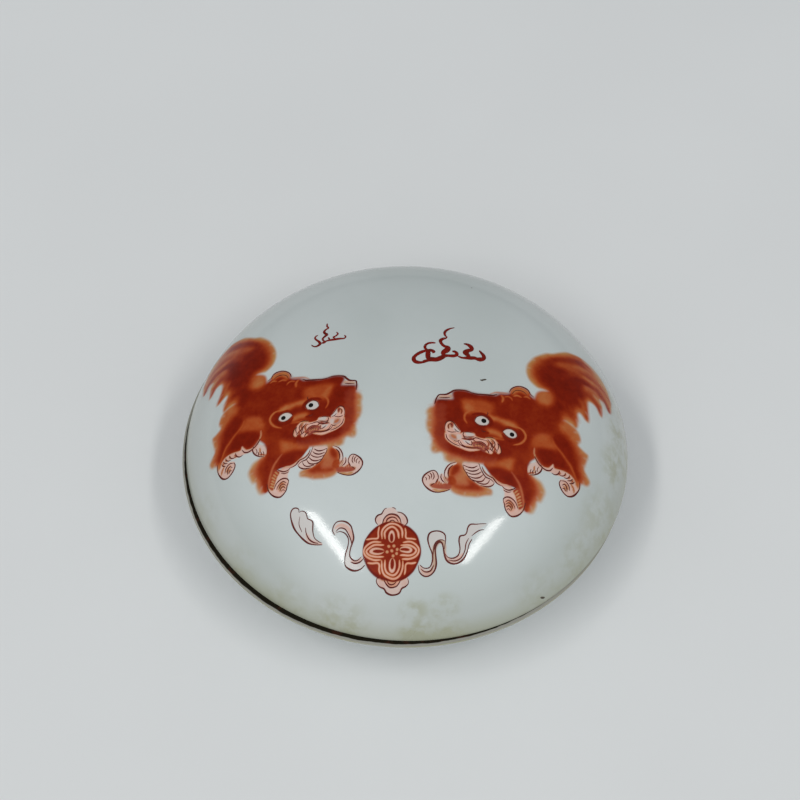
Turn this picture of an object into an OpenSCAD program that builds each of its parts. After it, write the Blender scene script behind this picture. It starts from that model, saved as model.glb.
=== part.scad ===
// Round seal paste box in porcelain: a domed lid that lifts off,
// a shallow footed base with an upstanding flange, and the red paste it holds.
// Millimetres, +Z up. The origin is the centre of the foot ring's flat face.

/* [Base] */
// Outer radius of the base at its ledge
base_r = 45; // [43:0.5:48]
// Height of the ledge above the table
base_h = 16; // [15.5:0.5:19]
// Radius of the arc that rounds the side of the bowl
bowl_side_r = 14; // [11:0.5:15]
// Slope of the bowl's side at the ledge, in degrees
bowl_edge_slope = 74; // [68:1:78]
// Height of the bowl's lowest outside point above the table
bowl_lift = 0.7; // [0.5:0.1:1.2]
// Thickness of the bowl's wall
base_wall = 3.2; // [2.8:0.1:4]
// Thickness of the flat floor over the recess
floor_t = 3.2; // [2.8:0.1:3.6]

/* [Mouth joint] */
// Width of the flat ledge round the flange
ledge_w = 5.6; // [5:0.1:6.4]
// Thickness of the flange
flange_t = 2.2; // [1.8:0.1:2.8]
// Height of the flange above the ledge
flange_h = 3; // [2.4:0.1:3]
// Radial gap between the flange and the lid's mouth
fit_gap = 1.7; // [1.7:0.1:2]
// Height of the straight mouth inside the lid, above its lower edge
mouth_h = 3.5; // [3.3:0.1:4]
// Chamfer on the flange's top edges and inside the lid's mouth
mouth_chamfer = 0.6; // [0.3:0.1:0.7]
// Chamfer on the outer edges of the ledge and of the lid
edge_chamfer = 0.3; // [0.2:0.1:0.4]
// How far the loose lid sits off centre to the right
lid_shift_x = 0.6; // [-0.6:0.1:0.6]
// How far the loose lid sits off centre to the back
lid_shift_y = 1.2; // [-1.2:0.1:1.2]

/* [Lid] */
// Width of the flat unglazed edge that rests on the ledge
lid_edge_w = 3.9; // [3.5:0.1:4.5]
// Rise of the dome above the lid's lower edge
lid_rise = 20.5; // [20:0.5:26]
// Radius of the arc that rounds the lid's shoulder
lid_shoulder_r = 23; // [16:0.5:24]
// Slope of the dome where it meets the lower edge, in degrees
lid_edge_slope = 73; // [66:1:76]
// Thickness of the lid's shell
lid_wall = 3.2; // [2.6:0.1:4]

/* [Foot] */
// Outer radius of the foot ring just above its chamfer
foot_r = 27; // [25:0.5:30]
// Width of the ring's flat face
foot_w = 2.4; // [2:0.1:3]
// Chamfer on both edges of the ring's face
foot_chamfer = 0.5; // [0.3:0.1:0.8]
// Taper of the ring's sides, in degrees from upright
foot_taper = 8; // [4:1:12]
// Depth of the recess inside the ring
recess_depth = 2.2; // [1.8:0.1:2.6]

/* [Seal paste] */
// Gap between the paste and the wall of the bowl
paste_gap = 0.3; // [0.2:0.1:0.6]
// Depth of the paste at its edge, above the floor
paste_depth = 5.2; // [4.8:0.1:5.6]
// Rise of the paste's rounded top above its edge
paste_rise = 3.5; // [3:0.1:3.6]
// Rounding at the edge of the paste
paste_round = 2; // [1.5:0.1:2.4]

/* [Hidden] */
$fn = 180;
// Facets of the large crown circles, of which a dome uses a short stretch
crown_facets = 720;
// How far a crown arc stays inside the one that would just touch its shoulder
hair = 0.01;
// Slope at which the paste's rounded edge starts, in degrees
paste_edge_slope = 80;
// How far cutting shapes run past the surface that they cut
over = 1;
flange_r = base_r - ledge_w;
flange_top = base_h + flange_h;
well_r = flange_r - flange_t;
mouth_r = flange_r + fit_gap;
lid_r = mouth_r + lid_edge_w;
bowl_depth = base_h - bowl_lift;
floor_h = recess_depth + floor_t;
paste_r = well_r - paste_gap;
paste_level = floor_h + paste_depth;
foot_in_r = foot_r - foot_w - 2 * foot_chamfer;
foot_top = bowl_lift + base_wall + recess_depth;
foot_lean = foot_top * tan(foot_taper);

// Radius of the crown arc that meets the shoulder arc without a corner
function crown_r(r, rise, round_r, slope) =
    let (cx = r - round_r * sin(slope), up = rise + round_r * cos(slope))
    (cx * cx + up * up - round_r * round_r) / (2 * (up - round_r));

// Half of a dome's outline, right of the axis and above its edge at height 0.
// Its crown is the arc that touches the shoulder's, less a hair, so that the two
// cross at a clean point. inset moves the outline inwards by a wall's thickness.
module dome_half(r, rise, round_r, slope, inset = 0) {
    big = crown_r(r, rise, round_r, slope);
    cx = r - round_r * sin(slope);
    cy = -round_r * cos(slope);
    turn = asin(cx / (big - round_r));
    reach = 2 * r;
    split = [cx - cy * tan(turn), 0];
    split_top = split + reach * [sin(turn), cos(turn)];
    intersection() {
        translate([0, rise - big])
            circle(r = big - inset - hair, $fn = crown_facets);
        square(reach);
        union() {
            polygon([[0, 0], split, split_top, [0, split_top[1]]]);
            translate([cx, cy])
                circle(r = round_r - inset);
        }
    }
}

// Outline of a bowl hanging from the ledge, which is a dome turned over
module bowl_half(inset = 0) {
    translate([0, base_h])
        mirror([0, 1])
            dome_half(base_r, bowl_depth, bowl_side_r, bowl_edge_slope, inset);
}

// Half cross-section of the space inside the bowl and its flange, out to r,
// with inset as the distance kept from the bowl's outside
module well_half(r, inset) {
    intersection() {
        union() {
            bowl_half(inset);
            translate([0, base_h])
                square([r, flange_h + over]);
        }
        translate([0, floor_h])
            square([r, flange_top + over - floor_h]);
    }
}

// A square-cornered cut that takes a chamfer off an edge at a point
module chamfer_cut(at, size) {
    translate(at)
        rotate(45)
            square(size * sqrt(2), center = true);
}

module flange_half() {
    difference() {
        translate([well_r, base_h - over])
            square([flange_t, flange_h + over]);
        chamfer_cut([flange_r, flange_top], mouth_chamfer);
        chamfer_cut([well_r, flange_top], mouth_chamfer);
    }
}

// The ring's sides lean apart from its flat face upwards
module foot_half() {
    polygon([
        [foot_in_r + foot_chamfer, 0],
        [foot_r - foot_chamfer, 0],
        [foot_r, foot_chamfer],
        [foot_r + foot_lean, foot_top],
        [foot_in_r - foot_lean, foot_top],
        [foot_in_r, foot_chamfer]
    ]);
}

module recess_half() {
    lean = recess_depth * tan(foot_taper);
    polygon([
        [0, -over],
        [foot_in_r, -over],
        [foot_in_r, foot_chamfer],
        [foot_in_r - lean, recess_depth],
        [0, recess_depth]
    ]);
}

module base() {
    color("#CBD3D4")
        rotate_extrude()
            difference() {
                union() {
                    bowl_half();
                    foot_half();
                    flange_half();
                }
                well_half(well_r, base_wall);
                recess_half();
                chamfer_cut([base_r, base_h], edge_chamfer);
            }
}

module seal_paste() {
    color("#B3201A")
        rotate_extrude()
            intersection() {
                well_half(paste_r, base_wall + paste_gap);
                union() {
                    square([paste_r, paste_level]);
                    translate([0, paste_level])
                        dome_half(paste_r, paste_rise, paste_round, paste_edge_slope);
                }
            }
}

module lid() {
    color("#D3DBDD")
        translate([lid_shift_x, lid_shift_y, base_h])
            rotate_extrude()
                difference() {
                    dome_half(lid_r, lid_rise, lid_shoulder_r, lid_edge_slope);
                    dome_half(lid_r, lid_rise, lid_shoulder_r, lid_edge_slope, lid_wall);
                    translate([0, -over])
                        square([mouth_r, mouth_h + over]);
                    chamfer_cut([mouth_r, 0], mouth_chamfer);
                    chamfer_cut([lid_r, 0], edge_chamfer);
                }
}

base();
seal_paste();
lid();
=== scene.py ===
"""Round porcelain seal paste box: a domed lid with iron red painting, a shallow footed
base and the red paste inside it. Sizes are in metres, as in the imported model, except in
the brushwork section, which is drawn in millimetres."""
import math

import bmesh
import bpy
import numpy as np
from mathutils import Matrix, Vector


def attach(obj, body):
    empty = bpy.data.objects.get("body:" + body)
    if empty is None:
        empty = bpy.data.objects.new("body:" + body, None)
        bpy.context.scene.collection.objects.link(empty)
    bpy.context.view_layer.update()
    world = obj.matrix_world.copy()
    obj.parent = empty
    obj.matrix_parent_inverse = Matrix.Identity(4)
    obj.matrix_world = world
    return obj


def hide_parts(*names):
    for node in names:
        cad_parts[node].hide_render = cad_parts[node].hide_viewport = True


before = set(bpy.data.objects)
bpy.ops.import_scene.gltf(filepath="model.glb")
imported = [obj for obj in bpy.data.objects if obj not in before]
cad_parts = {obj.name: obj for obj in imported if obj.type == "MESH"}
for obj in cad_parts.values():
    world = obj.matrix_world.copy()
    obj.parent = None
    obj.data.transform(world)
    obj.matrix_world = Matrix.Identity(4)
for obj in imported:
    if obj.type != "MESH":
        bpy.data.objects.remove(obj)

bl_info = {
    "name": "Seal Paste Box",
    "version": (1, 0, 0),
    "blender": (4, 5, 0),
    "location": "View3D > Sidebar > Seal Box",
    "description": "Builds a round porcelain seal paste box round its packed CAD model",
    "category": "Object",
}

MM = 0.001


def linear(hex_colour):
    """An sRGB hex colour as linear red, green and blue."""
    values = [int(hex_colour[k : k + 2], 16) / 255 for k in (1, 3, 5)]
    return tuple(v / 12.92 if v <= 0.04045 else ((v + 0.055) / 1.055) ** 2.4 for v in values)


def length(name, text, value):
    """A length in the panel, given in millimetres."""
    return bpy.props.FloatProperty(
        name=name, description=text, default=value * MM, unit="LENGTH"
    )


def tilt(name, text, degrees):
    """An angle in the panel, given in degrees."""
    return bpy.props.FloatProperty(
        name=name, description=text, default=math.radians(degrees), subtype="ANGLE"
    )


def tint(name, text, hex_colour):
    """A colour in the panel, given in sRGB."""
    return bpy.props.FloatVectorProperty(
        name=name, description=text, default=linear(hex_colour), subtype="COLOR", size=3,
        min=0, max=1,
    )


class BoxSizes(bpy.types.PropertyGroup):
    """Sizes of the turned forms, which repeat those of the CAD source."""

    rim_radius: length("Rim radius", "Outer radius of the lid's and the base's edge", 45)
    seam_height: length("Seam height", "Height of the ledge on which the lid rests", 16)
    lid_rise: length("Lid rise", "Height of the dome above the lid's edge", 20.5)
    lid_shoulder: length("Lid shoulder", "Radius of the arc that rounds the lid's shoulder", 23)
    lid_slope: tilt("Lid edge slope", "Slope of the dome at its edge", 73)
    lid_right: length("Lid to the right", "How far the lid sits off centre to the right", 0.6)
    lid_back: length("Lid to the back", "How far the lid sits off centre to the back", 1.2)
    mouth_radius: length("Mouth radius", "Radius of the straight mouth inside the lid", 41.1)
    mouth_height: length("Mouth height", "Height of the straight mouth above the lid's edge", 3.5)
    wall: length("Wall", "Thickness of the lid's shell and of the bowl", 3.2)
    bowl_depth: length("Bowl depth", "Depth of the bowl's outside below the ledge", 15.3)
    bowl_side: length("Bowl side", "Radius of the arc that rounds the side of the bowl", 14)
    bowl_slope: tilt("Bowl edge slope", "Slope of the bowl's side at the ledge", 74)
    flange_radius: length("Flange radius", "Outer radius of the upstanding flange", 39.4)
    flange_thickness: length("Flange thickness", "Thickness of the flange", 2.2)
    flange_height: length("Flange height", "Height of the flange above the ledge", 3)
    floor_height: length("Floor height", "Height of the well's flat floor", 5.4)
    foot_radius: length("Foot radius", "Outer radius of the foot ring", 27)
    foot_inner: length("Foot inner radius", "Inner radius of the foot ring", 23.6)
    recess: length("Recess", "Depth of the recess inside the foot ring", 2.2)
    paste_radius: length("Paste radius", "Radius of the seal paste", 36.9)
    paste_level: length("Paste level", "Height of the paste's edge above the table", 10.6)
    paste_rise: length("Paste rise", "Rise of the paste's rounded top above its edge", 3.5)
    film: length("Enamel film", "How far the painted enamel stands above the glaze", 0.02)


class BoxColours(bpy.types.PropertyGroup):
    """Colours of the glaze, the bare clay, the enamels and the paste."""

    glaze: tint("Glaze", "Bluish white of the fired glaze", "#C7CECD")
    glaze_shade: tint("Glaze shade", "Glaze where it pools and turns greyer", "#BCC4C2")
    # Dull glaze also stands for painted shade on the lid's shoulder, which turns away from the
    # light
    dull_and_shade: tint("Dull glaze", "Glaze dulled by handling round the shoulder", "#8F8D80")
    # Worn rim colour, greyer partly as painted shade on the base's side below the seam
    rim: tint("Worn rim", "Grey olive of the base's worn rim", "#93928A")
    # Stain colour, also used as painted shade along the lid's right edge
    stain_and_shade: tint("Stain", "Olive brown of old hand grime on the glaze", "#8F8E62")
    clay: tint("Bare clay", "Unglazed porcelain, a little buff", "#C9BFAC")
    grime: tint("Grime", "Dark brown that settled into bare clay", "#130F02")
    rust: tint("Rust", "Red brown specks in that grime", "#33180A")
    speck: tint("Speck", "Iron speck fired into the glaze", "#4A4238")
    ink: tint("Line red", "Iron red drawn with a fine brush", "#561C15")
    black: tint("Pupil black", "Black enamel of the lions' pupils", "#0A0807")
    paste: tint("Paste", "Cinnabar red of the seal paste", "#A8140F")
    paste_deep: tint("Paste shade", "Deeper red between the fibres", "#6A0907")
    floor: tint("Floor", "Pale studio floor", "#E0E2E2")


# ---------------------------------------------------------------------------
# Nodes and materials
# ---------------------------------------------------------------------------
# Kinds of node, with the settings that they take here
TIMES = ("ShaderNodeMath", {"operation": "MULTIPLY"})
PLUS = ("ShaderNodeMath", {"operation": "ADD"})
PLUS_TO_ONE = ("ShaderNodeMath", {"operation": "ADD", "use_clamp": True})
LARGER = ("ShaderNodeMath", {"operation": "MAXIMUM"})
DISTANCE = ("ShaderNodeVectorMath", {"operation": "DISTANCE"})
LENGTH = ("ShaderNodeVectorMath", {"operation": "LENGTH"})
ALONG = ("ShaderNodeVectorMath", {"operation": "DOT_PRODUCT"})
# A smooth step of a value between two others, from 0 to 1 unless two results follow
STEP = ("ShaderNodeMapRange", {"interpolation_type": "SMOOTHSTEP"})
MIX = ("ShaderNodeMix", {"data_type": "RGBA"})
NOISE = "ShaderNodeTexNoise"
BUMP = "ShaderNodeBump"
SHADER = "ShaderNodeBsdfPrincipled"
MATERIAL = "ShaderNodeOutputMaterial"
CIRCLE = ("GeometryNodeCurvePrimitiveCircle", {"mode": "RADIUS"})
ARC = ("GeometryNodeCurveArc", {"mode": "RADIUS"})
LEVEL = ("GeometryNodeSetCurveNormal", {"mode": "Z_UP"})
SWEEP = "GeometryNodeCurveToMesh"


def add(tree, kind, *values, **named):
    """Adds a node with its settings and links, and returns it.

    Values go to the inputs in use in their order, or by name with _ for a space. A value may
    be another node, whose first output in use is meant, or one of its outputs."""
    kind, settings = (kind, {}) if isinstance(kind, str) else kind
    node = tree.nodes.new(kind)
    for name, value in settings.items():
        setattr(node, name, value)
    given = list(zip((socket for socket in node.inputs if socket.enabled), values))
    given += [(node.inputs[name.replace("_", " ")], value) for name, value in named.items()]
    for socket, value in given:
        if isinstance(value, bpy.types.Node):
            value = next(output for output in value.outputs if output.enabled)
        if isinstance(value, bpy.types.NodeSocket):
            tree.links.new(value, socket)
        else:
            socket.default_value = (*value, 1) if socket.type == "RGBA" else value
    return node


def every(size_mm):
    """The scale of a texture whose features are about so many millimetres wide."""
    return 1 / (size_mm * MM)


def new_material(name):
    """A material without nodes, its tree, and the coordinates of the piece that wears it."""
    material = bpy.data.materials.new(name)
    material.use_nodes = True
    tree = material.node_tree
    tree.nodes.clear()
    return material, tree, add(tree, "ShaderNodeTexCoord").outputs["Object"]


def kept(name, maker, *given):
    """The material of that name, made when it isn't there yet."""
    return bpy.data.materials.get(name) or maker(*given)


# Where hands and a damp shelf left olive staining, and along the right edge partly painted shade
# where the dome turns away from the light: place from the lid's axis in mm (x, y), reach in mm,
# strength
STAINS_AND_SHADE = [
    (2, -41.9, 3.4, 0.75), (7.6, -41.2, 3.6, 0.7), (3, -44, 4.5, 0.8), (9, -43.6, 4, 0.5),
    (-12, -42.6, 7, 0.55), (-22, -38.2, 6, 0.3), (42.4, -1, 5, 0.85), (41.4, -8.5, 6, 0.8),
    (38, -20, 7.5, 0.5), (33.6, -28, 7.5, 0.45), (26, -35.4, 6.5, 0.35), (41.4, 7, 6, 0.5),
    (43.6, -5, 5, 0.6), (-39, -20, 5, 0.25), (-31, -31, 5, 0.25), (-8, 42, 6, 0.4),
    (20, 38, 7, 0.4), (-36, 24, 6, 0.35),
]


def glaze_nodes(tree, where, colours):
    """Colour, roughness and normal of the glaze, shared by bare glaze and by thin enamel."""
    sizes = bpy.context.scene.seal_box_sizes
    seam = sizes.seam_height
    cloud = add(tree, NOISE, where, every(34), 1.5)
    mottle = add(tree, NOISE, where, every(3.2), 3.0, 0.6)
    base = add(tree, MIX, add(tree, STEP, cloud, 0.35, 0.7), colours.glaze, colours.glaze_shade)
    pooled = add(tree, STEP, mottle, 0.45, 0.8, 0.0, 0.2)
    base = add(tree, MIX, pooled, base, colours.glaze_shade)
    # Grime that gathers in the last millimetres above the seam, less of it on the right
    x, _, z = add(tree, "ShaderNodeSeparateXYZ", where).outputs
    above = add(tree, STEP, z, seam - 0.5 * MM, seam)
    low = add(tree, TIMES, add(tree, STEP, z, seam + 4.8 * MM, seam, 0.0, 0.85), above)
    low = add(tree, TIMES, low, add(tree, STEP, x, 32 * MM, 8 * MM, 0.55, 1.0))
    low = add(tree, TIMES, low, add(tree, STEP, cloud, 0.3, 0.6, 0.5, 1.0))
    # Stains, and painted shade along the right edge, broken up into blotches
    stains_and_shade = 0.0
    for spot_x, spot_y, reach, strength in STAINS_AND_SHADE:
        middle = lay_on_dome(sizes, np.array([spot_x]), np.array([spot_y]), 0.0)[0]
        away = add(tree, DISTANCE, where, tuple(middle))
        spot = add(tree, STEP, away, 1.15 * reach * MM, 0.3 * reach * MM, 0.0, strength)
        stains_and_shade = add(tree, LARGER, stains_and_shade, spot)
    blotch = add(tree, NOISE, where, every(2.6), 3.0, 0.6)
    # Grime above the seam together with the blotches, which carry painted shade on the right edge
    grime = add(tree, TIMES, stains_and_shade, add(tree, STEP, blotch, 0.36, 0.66, 0.15, 1.0))
    grime = add(tree, PLUS_TO_ONE, grime, low)
    # The shoulder, greyed towards the lid's edge: some dulling by handling, and painted shade
    # where the dome turns away from the light
    dulled_and_shaded = add(tree, TIMES, add(tree, STEP, z, seam + 15 * MM, seam + 2 * MM, 0.0, 0.3), above)
    base = add(tree, MIX, dulled_and_shaded, base, colours.dull_and_shade)
    # The base's rim, worn and rubbed with grime just below the seam, and greyed there as painted
    # shade on the base's side
    rim = add(tree, STEP, z, seam - 2.5 * MM, seam - 0.3 * MM, 0.0, 0.8)
    rim = add(tree, TIMES, rim, add(tree, STEP, z, seam + 0.06 * MM, seam - 0.01 * MM))
    base = add(tree, MIX, rim, base, colours.rim)
    base = add(tree, MIX, add(tree, TIMES, grime, 0.6), base, colours.stain_and_shade)
    # A few pin-head iron specks, about 0.2 mm across
    cells = add(tree, "ShaderNodeTexVoronoi", where, every(9))
    chance = add(tree, NOISE, where, every(22), 0.0)
    speck = add(tree, STEP, cells, 0.022, 0.012, 0.0, 0.75)
    speck = add(tree, TIMES, speck, add(tree, STEP, chance, 0.5, 0.56))
    base = add(tree, MIX, speck, base, colours.speck)
    rough = add(tree, STEP, mottle, 0.3, 0.8, 0.095, 0.135)
    rough = add(tree, PLUS, rough, add(tree, TIMES, grime, 0.16))
    # Slow ripple of a dipped glaze, and the faint peel over it
    height = add(tree, NOISE, where, every(9), 1.0)
    ripple = add(tree, BUMP, Height=height, Strength=0.5, Distance=0.05 * MM)
    height = add(tree, NOISE, where, every(1.1), 2.0)
    peel = add(tree, BUMP, Height=height, Strength=0.35, Distance=0.004 * MM, Normal=ripple)
    return base, rough, peel


def porcelain_material(colours):
    """Glazed porcelain, dipped and fired: a bluish white under a hard, slightly rippled gloss,
    with olive staining and specks where an old box was handled, and painted shade that greys the
    shoulder and the right edge."""
    material, tree, where = new_material("glazed porcelain")
    base, rough, normal = glaze_nodes(tree, where, colours)
    shader = add(tree, SHADER, Base_Color=base, Roughness=rough, Normal=normal, IOR=1.5)
    add(tree, MATERIAL, shader)
    return material


def clay_material(colours):
    """Unglazed porcelain edge: fine dry clay, buff, with brown grime rubbed into its outer rim."""
    material, tree, where = new_material("unglazed porcelain")
    x, y, z = add(tree, "ShaderNodeSeparateXYZ", where).outputs
    away = add(tree, LENGTH, add(tree, "ShaderNodeCombineXYZ", x, y))
    grain = add(tree, NOISE, where, every(0.5), 4.0, 0.65)
    near_seam = add(tree, STEP, z, 12 * MM, 14.5 * MM)
    # The rings of wear and dirt waver a little, and lie further in on the right
    waver = add(tree, PLUS, add(tree, NOISE, where, every(2.2)), -0.5)
    uneven = add(tree, PLUS, away, add(tree, TIMES, waver, 0.35 * MM))
    uneven = add(tree, PLUS, uneven, add(tree, TIMES, x, 0.004))
    worn = add(tree, TIMES, add(tree, STEP, uneven, 44.32 * MM, 44.46 * MM), near_seam)
    # The lid sits back on the ledge, so that dirt gathers on the front of it
    bared = add(tree, STEP, y, 36 * MM, -4 * MM, 0.3, 1.0)
    outer = add(tree, TIMES, add(tree, STEP, uneven, 42.3 * MM, 43.3 * MM), near_seam)
    outer = add(tree, TIMES, outer, bared)
    blotch = add(tree, NOISE, where, every(5), 3.0, 0.6)
    dirt = add(tree, PLUS_TO_ONE, add(tree, STEP, blotch, 0.36, 0.66, 0.06, 0.5), outer)
    base = add(tree, MIX, add(tree, STEP, grain, 0.35, 0.75, 0.0, 0.5),
               colours.clay, linear("#A99C84"))
    rusty = add(tree, STEP, add(tree, NOISE, where, every(1.8)), 0.54, 0.7, 0.0, 0.8)
    base = add(tree, MIX, dirt, base, add(tree, MIX, rusty, colours.grime, colours.rust))
    base = add(tree, MIX, worn, base, colours.rim)
    bump = add(tree, BUMP, Height=grain, Strength=0.6, Distance=0.03 * MM)
    rough = add(tree, STEP, grain, 0.2, 0.8, 0.7, 0.9)
    shader = add(tree, SHADER, Base_Color=base, Normal=bump, Roughness=rough,
                 Specular_IOR_Level=0.15)
    add(tree, MATERIAL, shader)
    return material


# From the thinnest wash over white glaze to two full coats
IRON_RED = [
    (0.0, "#DBA997"), (0.15, "#D08668"), (0.3, "#B6844E"), (0.45, "#B26638"), (0.6, "#A84A20"),
    (0.75, "#93300C"), (0.9, "#7C1A02"), (1.0, "#6A1200"),
]


def wash_material(colours):
    """Iron red overglaze enamel, brushed thin: from tan where it barely covers the glaze to a
    deep rust red in two coats, with a softer gloss than the glaze round it."""
    material, tree, where = new_material("iron red overglaze enamel")
    glaze, rough, normal = glaze_nodes(tree, where, colours)
    cover, tone = (
        add(tree, ("ShaderNodeAttribute", {"attribute_name": name})).outputs["Fac"]
        for name in ("cover", "tone")
    )
    bristle = add(tree, NOISE, where, every(0.7), 3.0, 0.6)
    pool = add(tree, NOISE, where, every(2.4))
    varied = add(tree, PLUS, tone, add(tree, STEP, pool, 0.3, 0.7, -0.035, 0.035))
    varied = add(tree, PLUS, varied, add(tree, STEP, bristle, 0.3, 0.7, -0.02, 0.02))
    red = add(tree, "ShaderNodeValToRGB", varied)
    stops = red.color_ramp.elements
    while len(stops) < len(IRON_RED):
        stops.new(0.5)
    for stop, (place, hex_colour) in zip(stops, IRON_RED):
        stop.position = place
        stop.color = (*linear(hex_colour), 1)
    base = add(tree, MIX, cover, glaze, red)
    gloss = add(tree, PLUS, rough, add(tree, TIMES, cover, 0.14))
    shader = add(tree, SHADER, Base_Color=base, Roughness=gloss, Normal=normal, IOR=1.5,
                 Specular_IOR_Level=0.12)
    add(tree, MATERIAL, shader)
    return material


def line_material(name, colour, pale):
    """Overglaze enamel drawn with a fine brush: raised a hair, glossy, thinner in places so that
    the glaze shows through as a paler tone."""
    material, tree, where = new_material(name)
    flow = add(tree, NOISE, where, every(1.6))
    base = add(tree, MIX, add(tree, STEP, flow, 0.35, 0.75, 0.0, 0.5), colour, pale)
    rough = add(tree, STEP, flow, 0.2, 0.8, 0.26, 0.4)
    shader = add(tree, SHADER, Base_Color=base, Roughness=rough, IOR=1.5,
                 Specular_IOR_Level=0.15)
    add(tree, MATERIAL, shader)
    return material


def paste_material(colours):
    """Seal paste: cinnabar and oil kneaded with plant fibre, a dense red with an oily sheen
    on the pressed parts and matt fibres between them."""
    material, tree, where = new_material("cinnabar seal paste")
    lump = add(tree, NOISE, where, every(3.5), 3.0, 0.6)
    felt = add(tree, NOISE, where, every(0.45), 4.0, 0.7)
    base = add(tree, MIX, add(tree, STEP, lump, 0.3, 0.7, 0.0, 0.45),
               colours.paste, colours.paste_deep)
    base = add(tree, MIX, add(tree, STEP, felt, 0.5, 0.75, 0.0, 0.5), base, colours.paste_deep)
    bump = add(tree, BUMP, Height=felt, Strength=0.8, Distance=0.15 * MM)
    rough = add(tree, STEP, lump, 0.3, 0.7, 0.32, 0.6)
    shader = add(tree, SHADER, Base_Color=base, Normal=bump, Roughness=rough,
                 Sheen_Weight=0.04, Specular_IOR_Level=0.35)
    add(tree, MATERIAL, shader)
    return material


def floor_material(colours):
    """Matt studio paper: an even pale grey with no visible grain."""
    material, tree, where = new_material("matt studio paper")
    fleck = add(tree, STEP, add(tree, NOISE, where, every(60)), 0.3, 0.7, 0.0, 0.25)
    base = add(tree, MIX, fleck, colours.floor, tuple(0.93 * c for c in colours.floor))
    add(tree, MATERIAL, add(tree, SHADER, Base_Color=base, Roughness=0.85))
    return material


# ---------------------------------------------------------------------------
# Shapes
# ---------------------------------------------------------------------------
def dome_arcs(radius, rise, shoulder, slope):
    """The centre (r, z) of a dome's shoulder, the radius of its crown, and the angle from the
    axis at which the two arcs meet."""
    cx, cz = radius - shoulder * math.sin(slope), -shoulder * math.cos(slope)
    up = rise - cz
    big = (cx * cx + up * up - shoulder * shoulder) / (2 * (up - shoulder))
    return cx, cz, big, math.asin(cx / (big - shoulder))


def two_arcs(radius, rise, shoulder, slope, inset=0.0, fine=1.0):
    """Outline of a dome from its edge up to its axis, as rows of (r, height above the edge)."""
    cx, cz, big, turn = dome_arcs(radius, rise, shoulder, slope)
    a = np.linspace(slope, turn, int(44 * fine))
    b = np.linspace(turn, 0, int(60 * fine))[1:]
    r = np.r_[cx + (shoulder - inset) * np.sin(a), (big - inset) * np.sin(b)]
    z = np.r_[cz + (shoulder - inset) * np.cos(a), rise - big + (big - inset) * np.cos(b)]
    return np.c_[r, z]


def eased(points, reach, steps=4):
    """Rounds the sharp corners of an outline, and splits its long straight runs."""
    p = [np.array(q, float) for q in points]
    out = [p[0]]
    for before, here, after in zip(p, p[1:], p[2:]):
        u, v = here - before, after - here
        lu, lv = np.linalg.norm(u), np.linalg.norm(v)
        turn = abs(math.atan2(u[0] * v[1] - u[1] * v[0], u @ v))
        if turn < math.radians(15):
            out.append(here)
            continue
        d = min(reach, 0.45 * lu, 0.45 * lv)
        a, b = here - u / lu * d, here + v / lv * d
        for s in np.linspace(0, 1, steps + 1):
            out.append((1 - s) ** 2 * a + 2 * s * (1 - s) * here + s * s * b)
    out.append(p[-1])
    fine = [out[0]]
    for a, b in zip(out, out[1:]):
        n = max(1, int(np.linalg.norm(b - a) / (0.9 * MM)))
        fine += [a + (b - a) * k / n for k in range(1, n + 1)]
    return np.array(fine)


def geometry_tree(name, inputs):
    """A new tree of geometry nodes with one result, and what it is given: rows of name, kind
    and default."""
    tree = bpy.data.node_groups.new(name, "GeometryNodeTree")
    for label, kind, default in inputs:
        socket = tree.interface.new_socket(label, in_out="INPUT", socket_type="NodeSocket" + kind)
        if default is not None:
            socket.default_value = default
    tree.interface.new_socket("Result", in_out="OUTPUT", socket_type="NodeSocketGeometry")
    return tree, add(tree, "NodeGroupInput").outputs


def end_tree(tree, body, material):
    """Ends a geometry tree: its instances made real, in its material."""
    body = add(tree, "GeometryNodeRealizeInstances", body)
    body = add(tree, "GeometryNodeSetMaterial", Geometry=body, Material=material)
    add(tree, "NodeGroupOutput", body)
    return tree


def turning_tree():
    """Geometry nodes that turn an outline round the Z axis. The outline lies in XY, its X
    being the radius less the wheel's, its Y the height turned over."""
    tree, given = geometry_tree("turned form", (
        ("Outline", "Geometry", None), ("Segments", "Int", 240), ("Wheel", "Float", 0.1),
        ("Surface", "Material", None),
    ))
    outline = add(tree, "GeometryNodeMeshToCurve", given["Outline"])
    wheel = add(tree, LEVEL, add(tree, CIRCLE, given["Segments"], given["Wheel"]))
    form = add(tree, SWEEP, wheel, outline)
    form = add(tree, "GeometryNodeMergeByDistance", Geometry=form, Distance=1e-6)
    return end_tree(tree, form, given["Surface"])


def stroke_tree():
    """Geometry nodes that lay a flat, rounded stroke along each path, as wide as the path says."""
    tree, given = geometry_tree("brush strokes", (
        ("Paths", "Geometry", None), ("Flatness", "Float", 0.14), ("Sides", "Int", 8),
        ("Enamel", "Material", None),
    ))
    path = add(tree, LEVEL, add(tree, "GeometryNodeMeshToCurve", given["Paths"]))
    width = add(tree, ("GeometryNodeInputNamedAttribute", {"data_type": "FLOAT"}), "half width")
    flat = add(tree, "ShaderNodeCombineXYZ", 1.0, given["Flatness"], 1.0)
    tip = add(tree, "GeometryNodeTransform", add(tree, CIRCLE, given["Sides"], 1.0), Scale=flat)
    body = add(tree, SWEEP, path, tip, Scale=width, Fill_Caps=True)
    return end_tree(tree, body, given["Enamel"])


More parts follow.
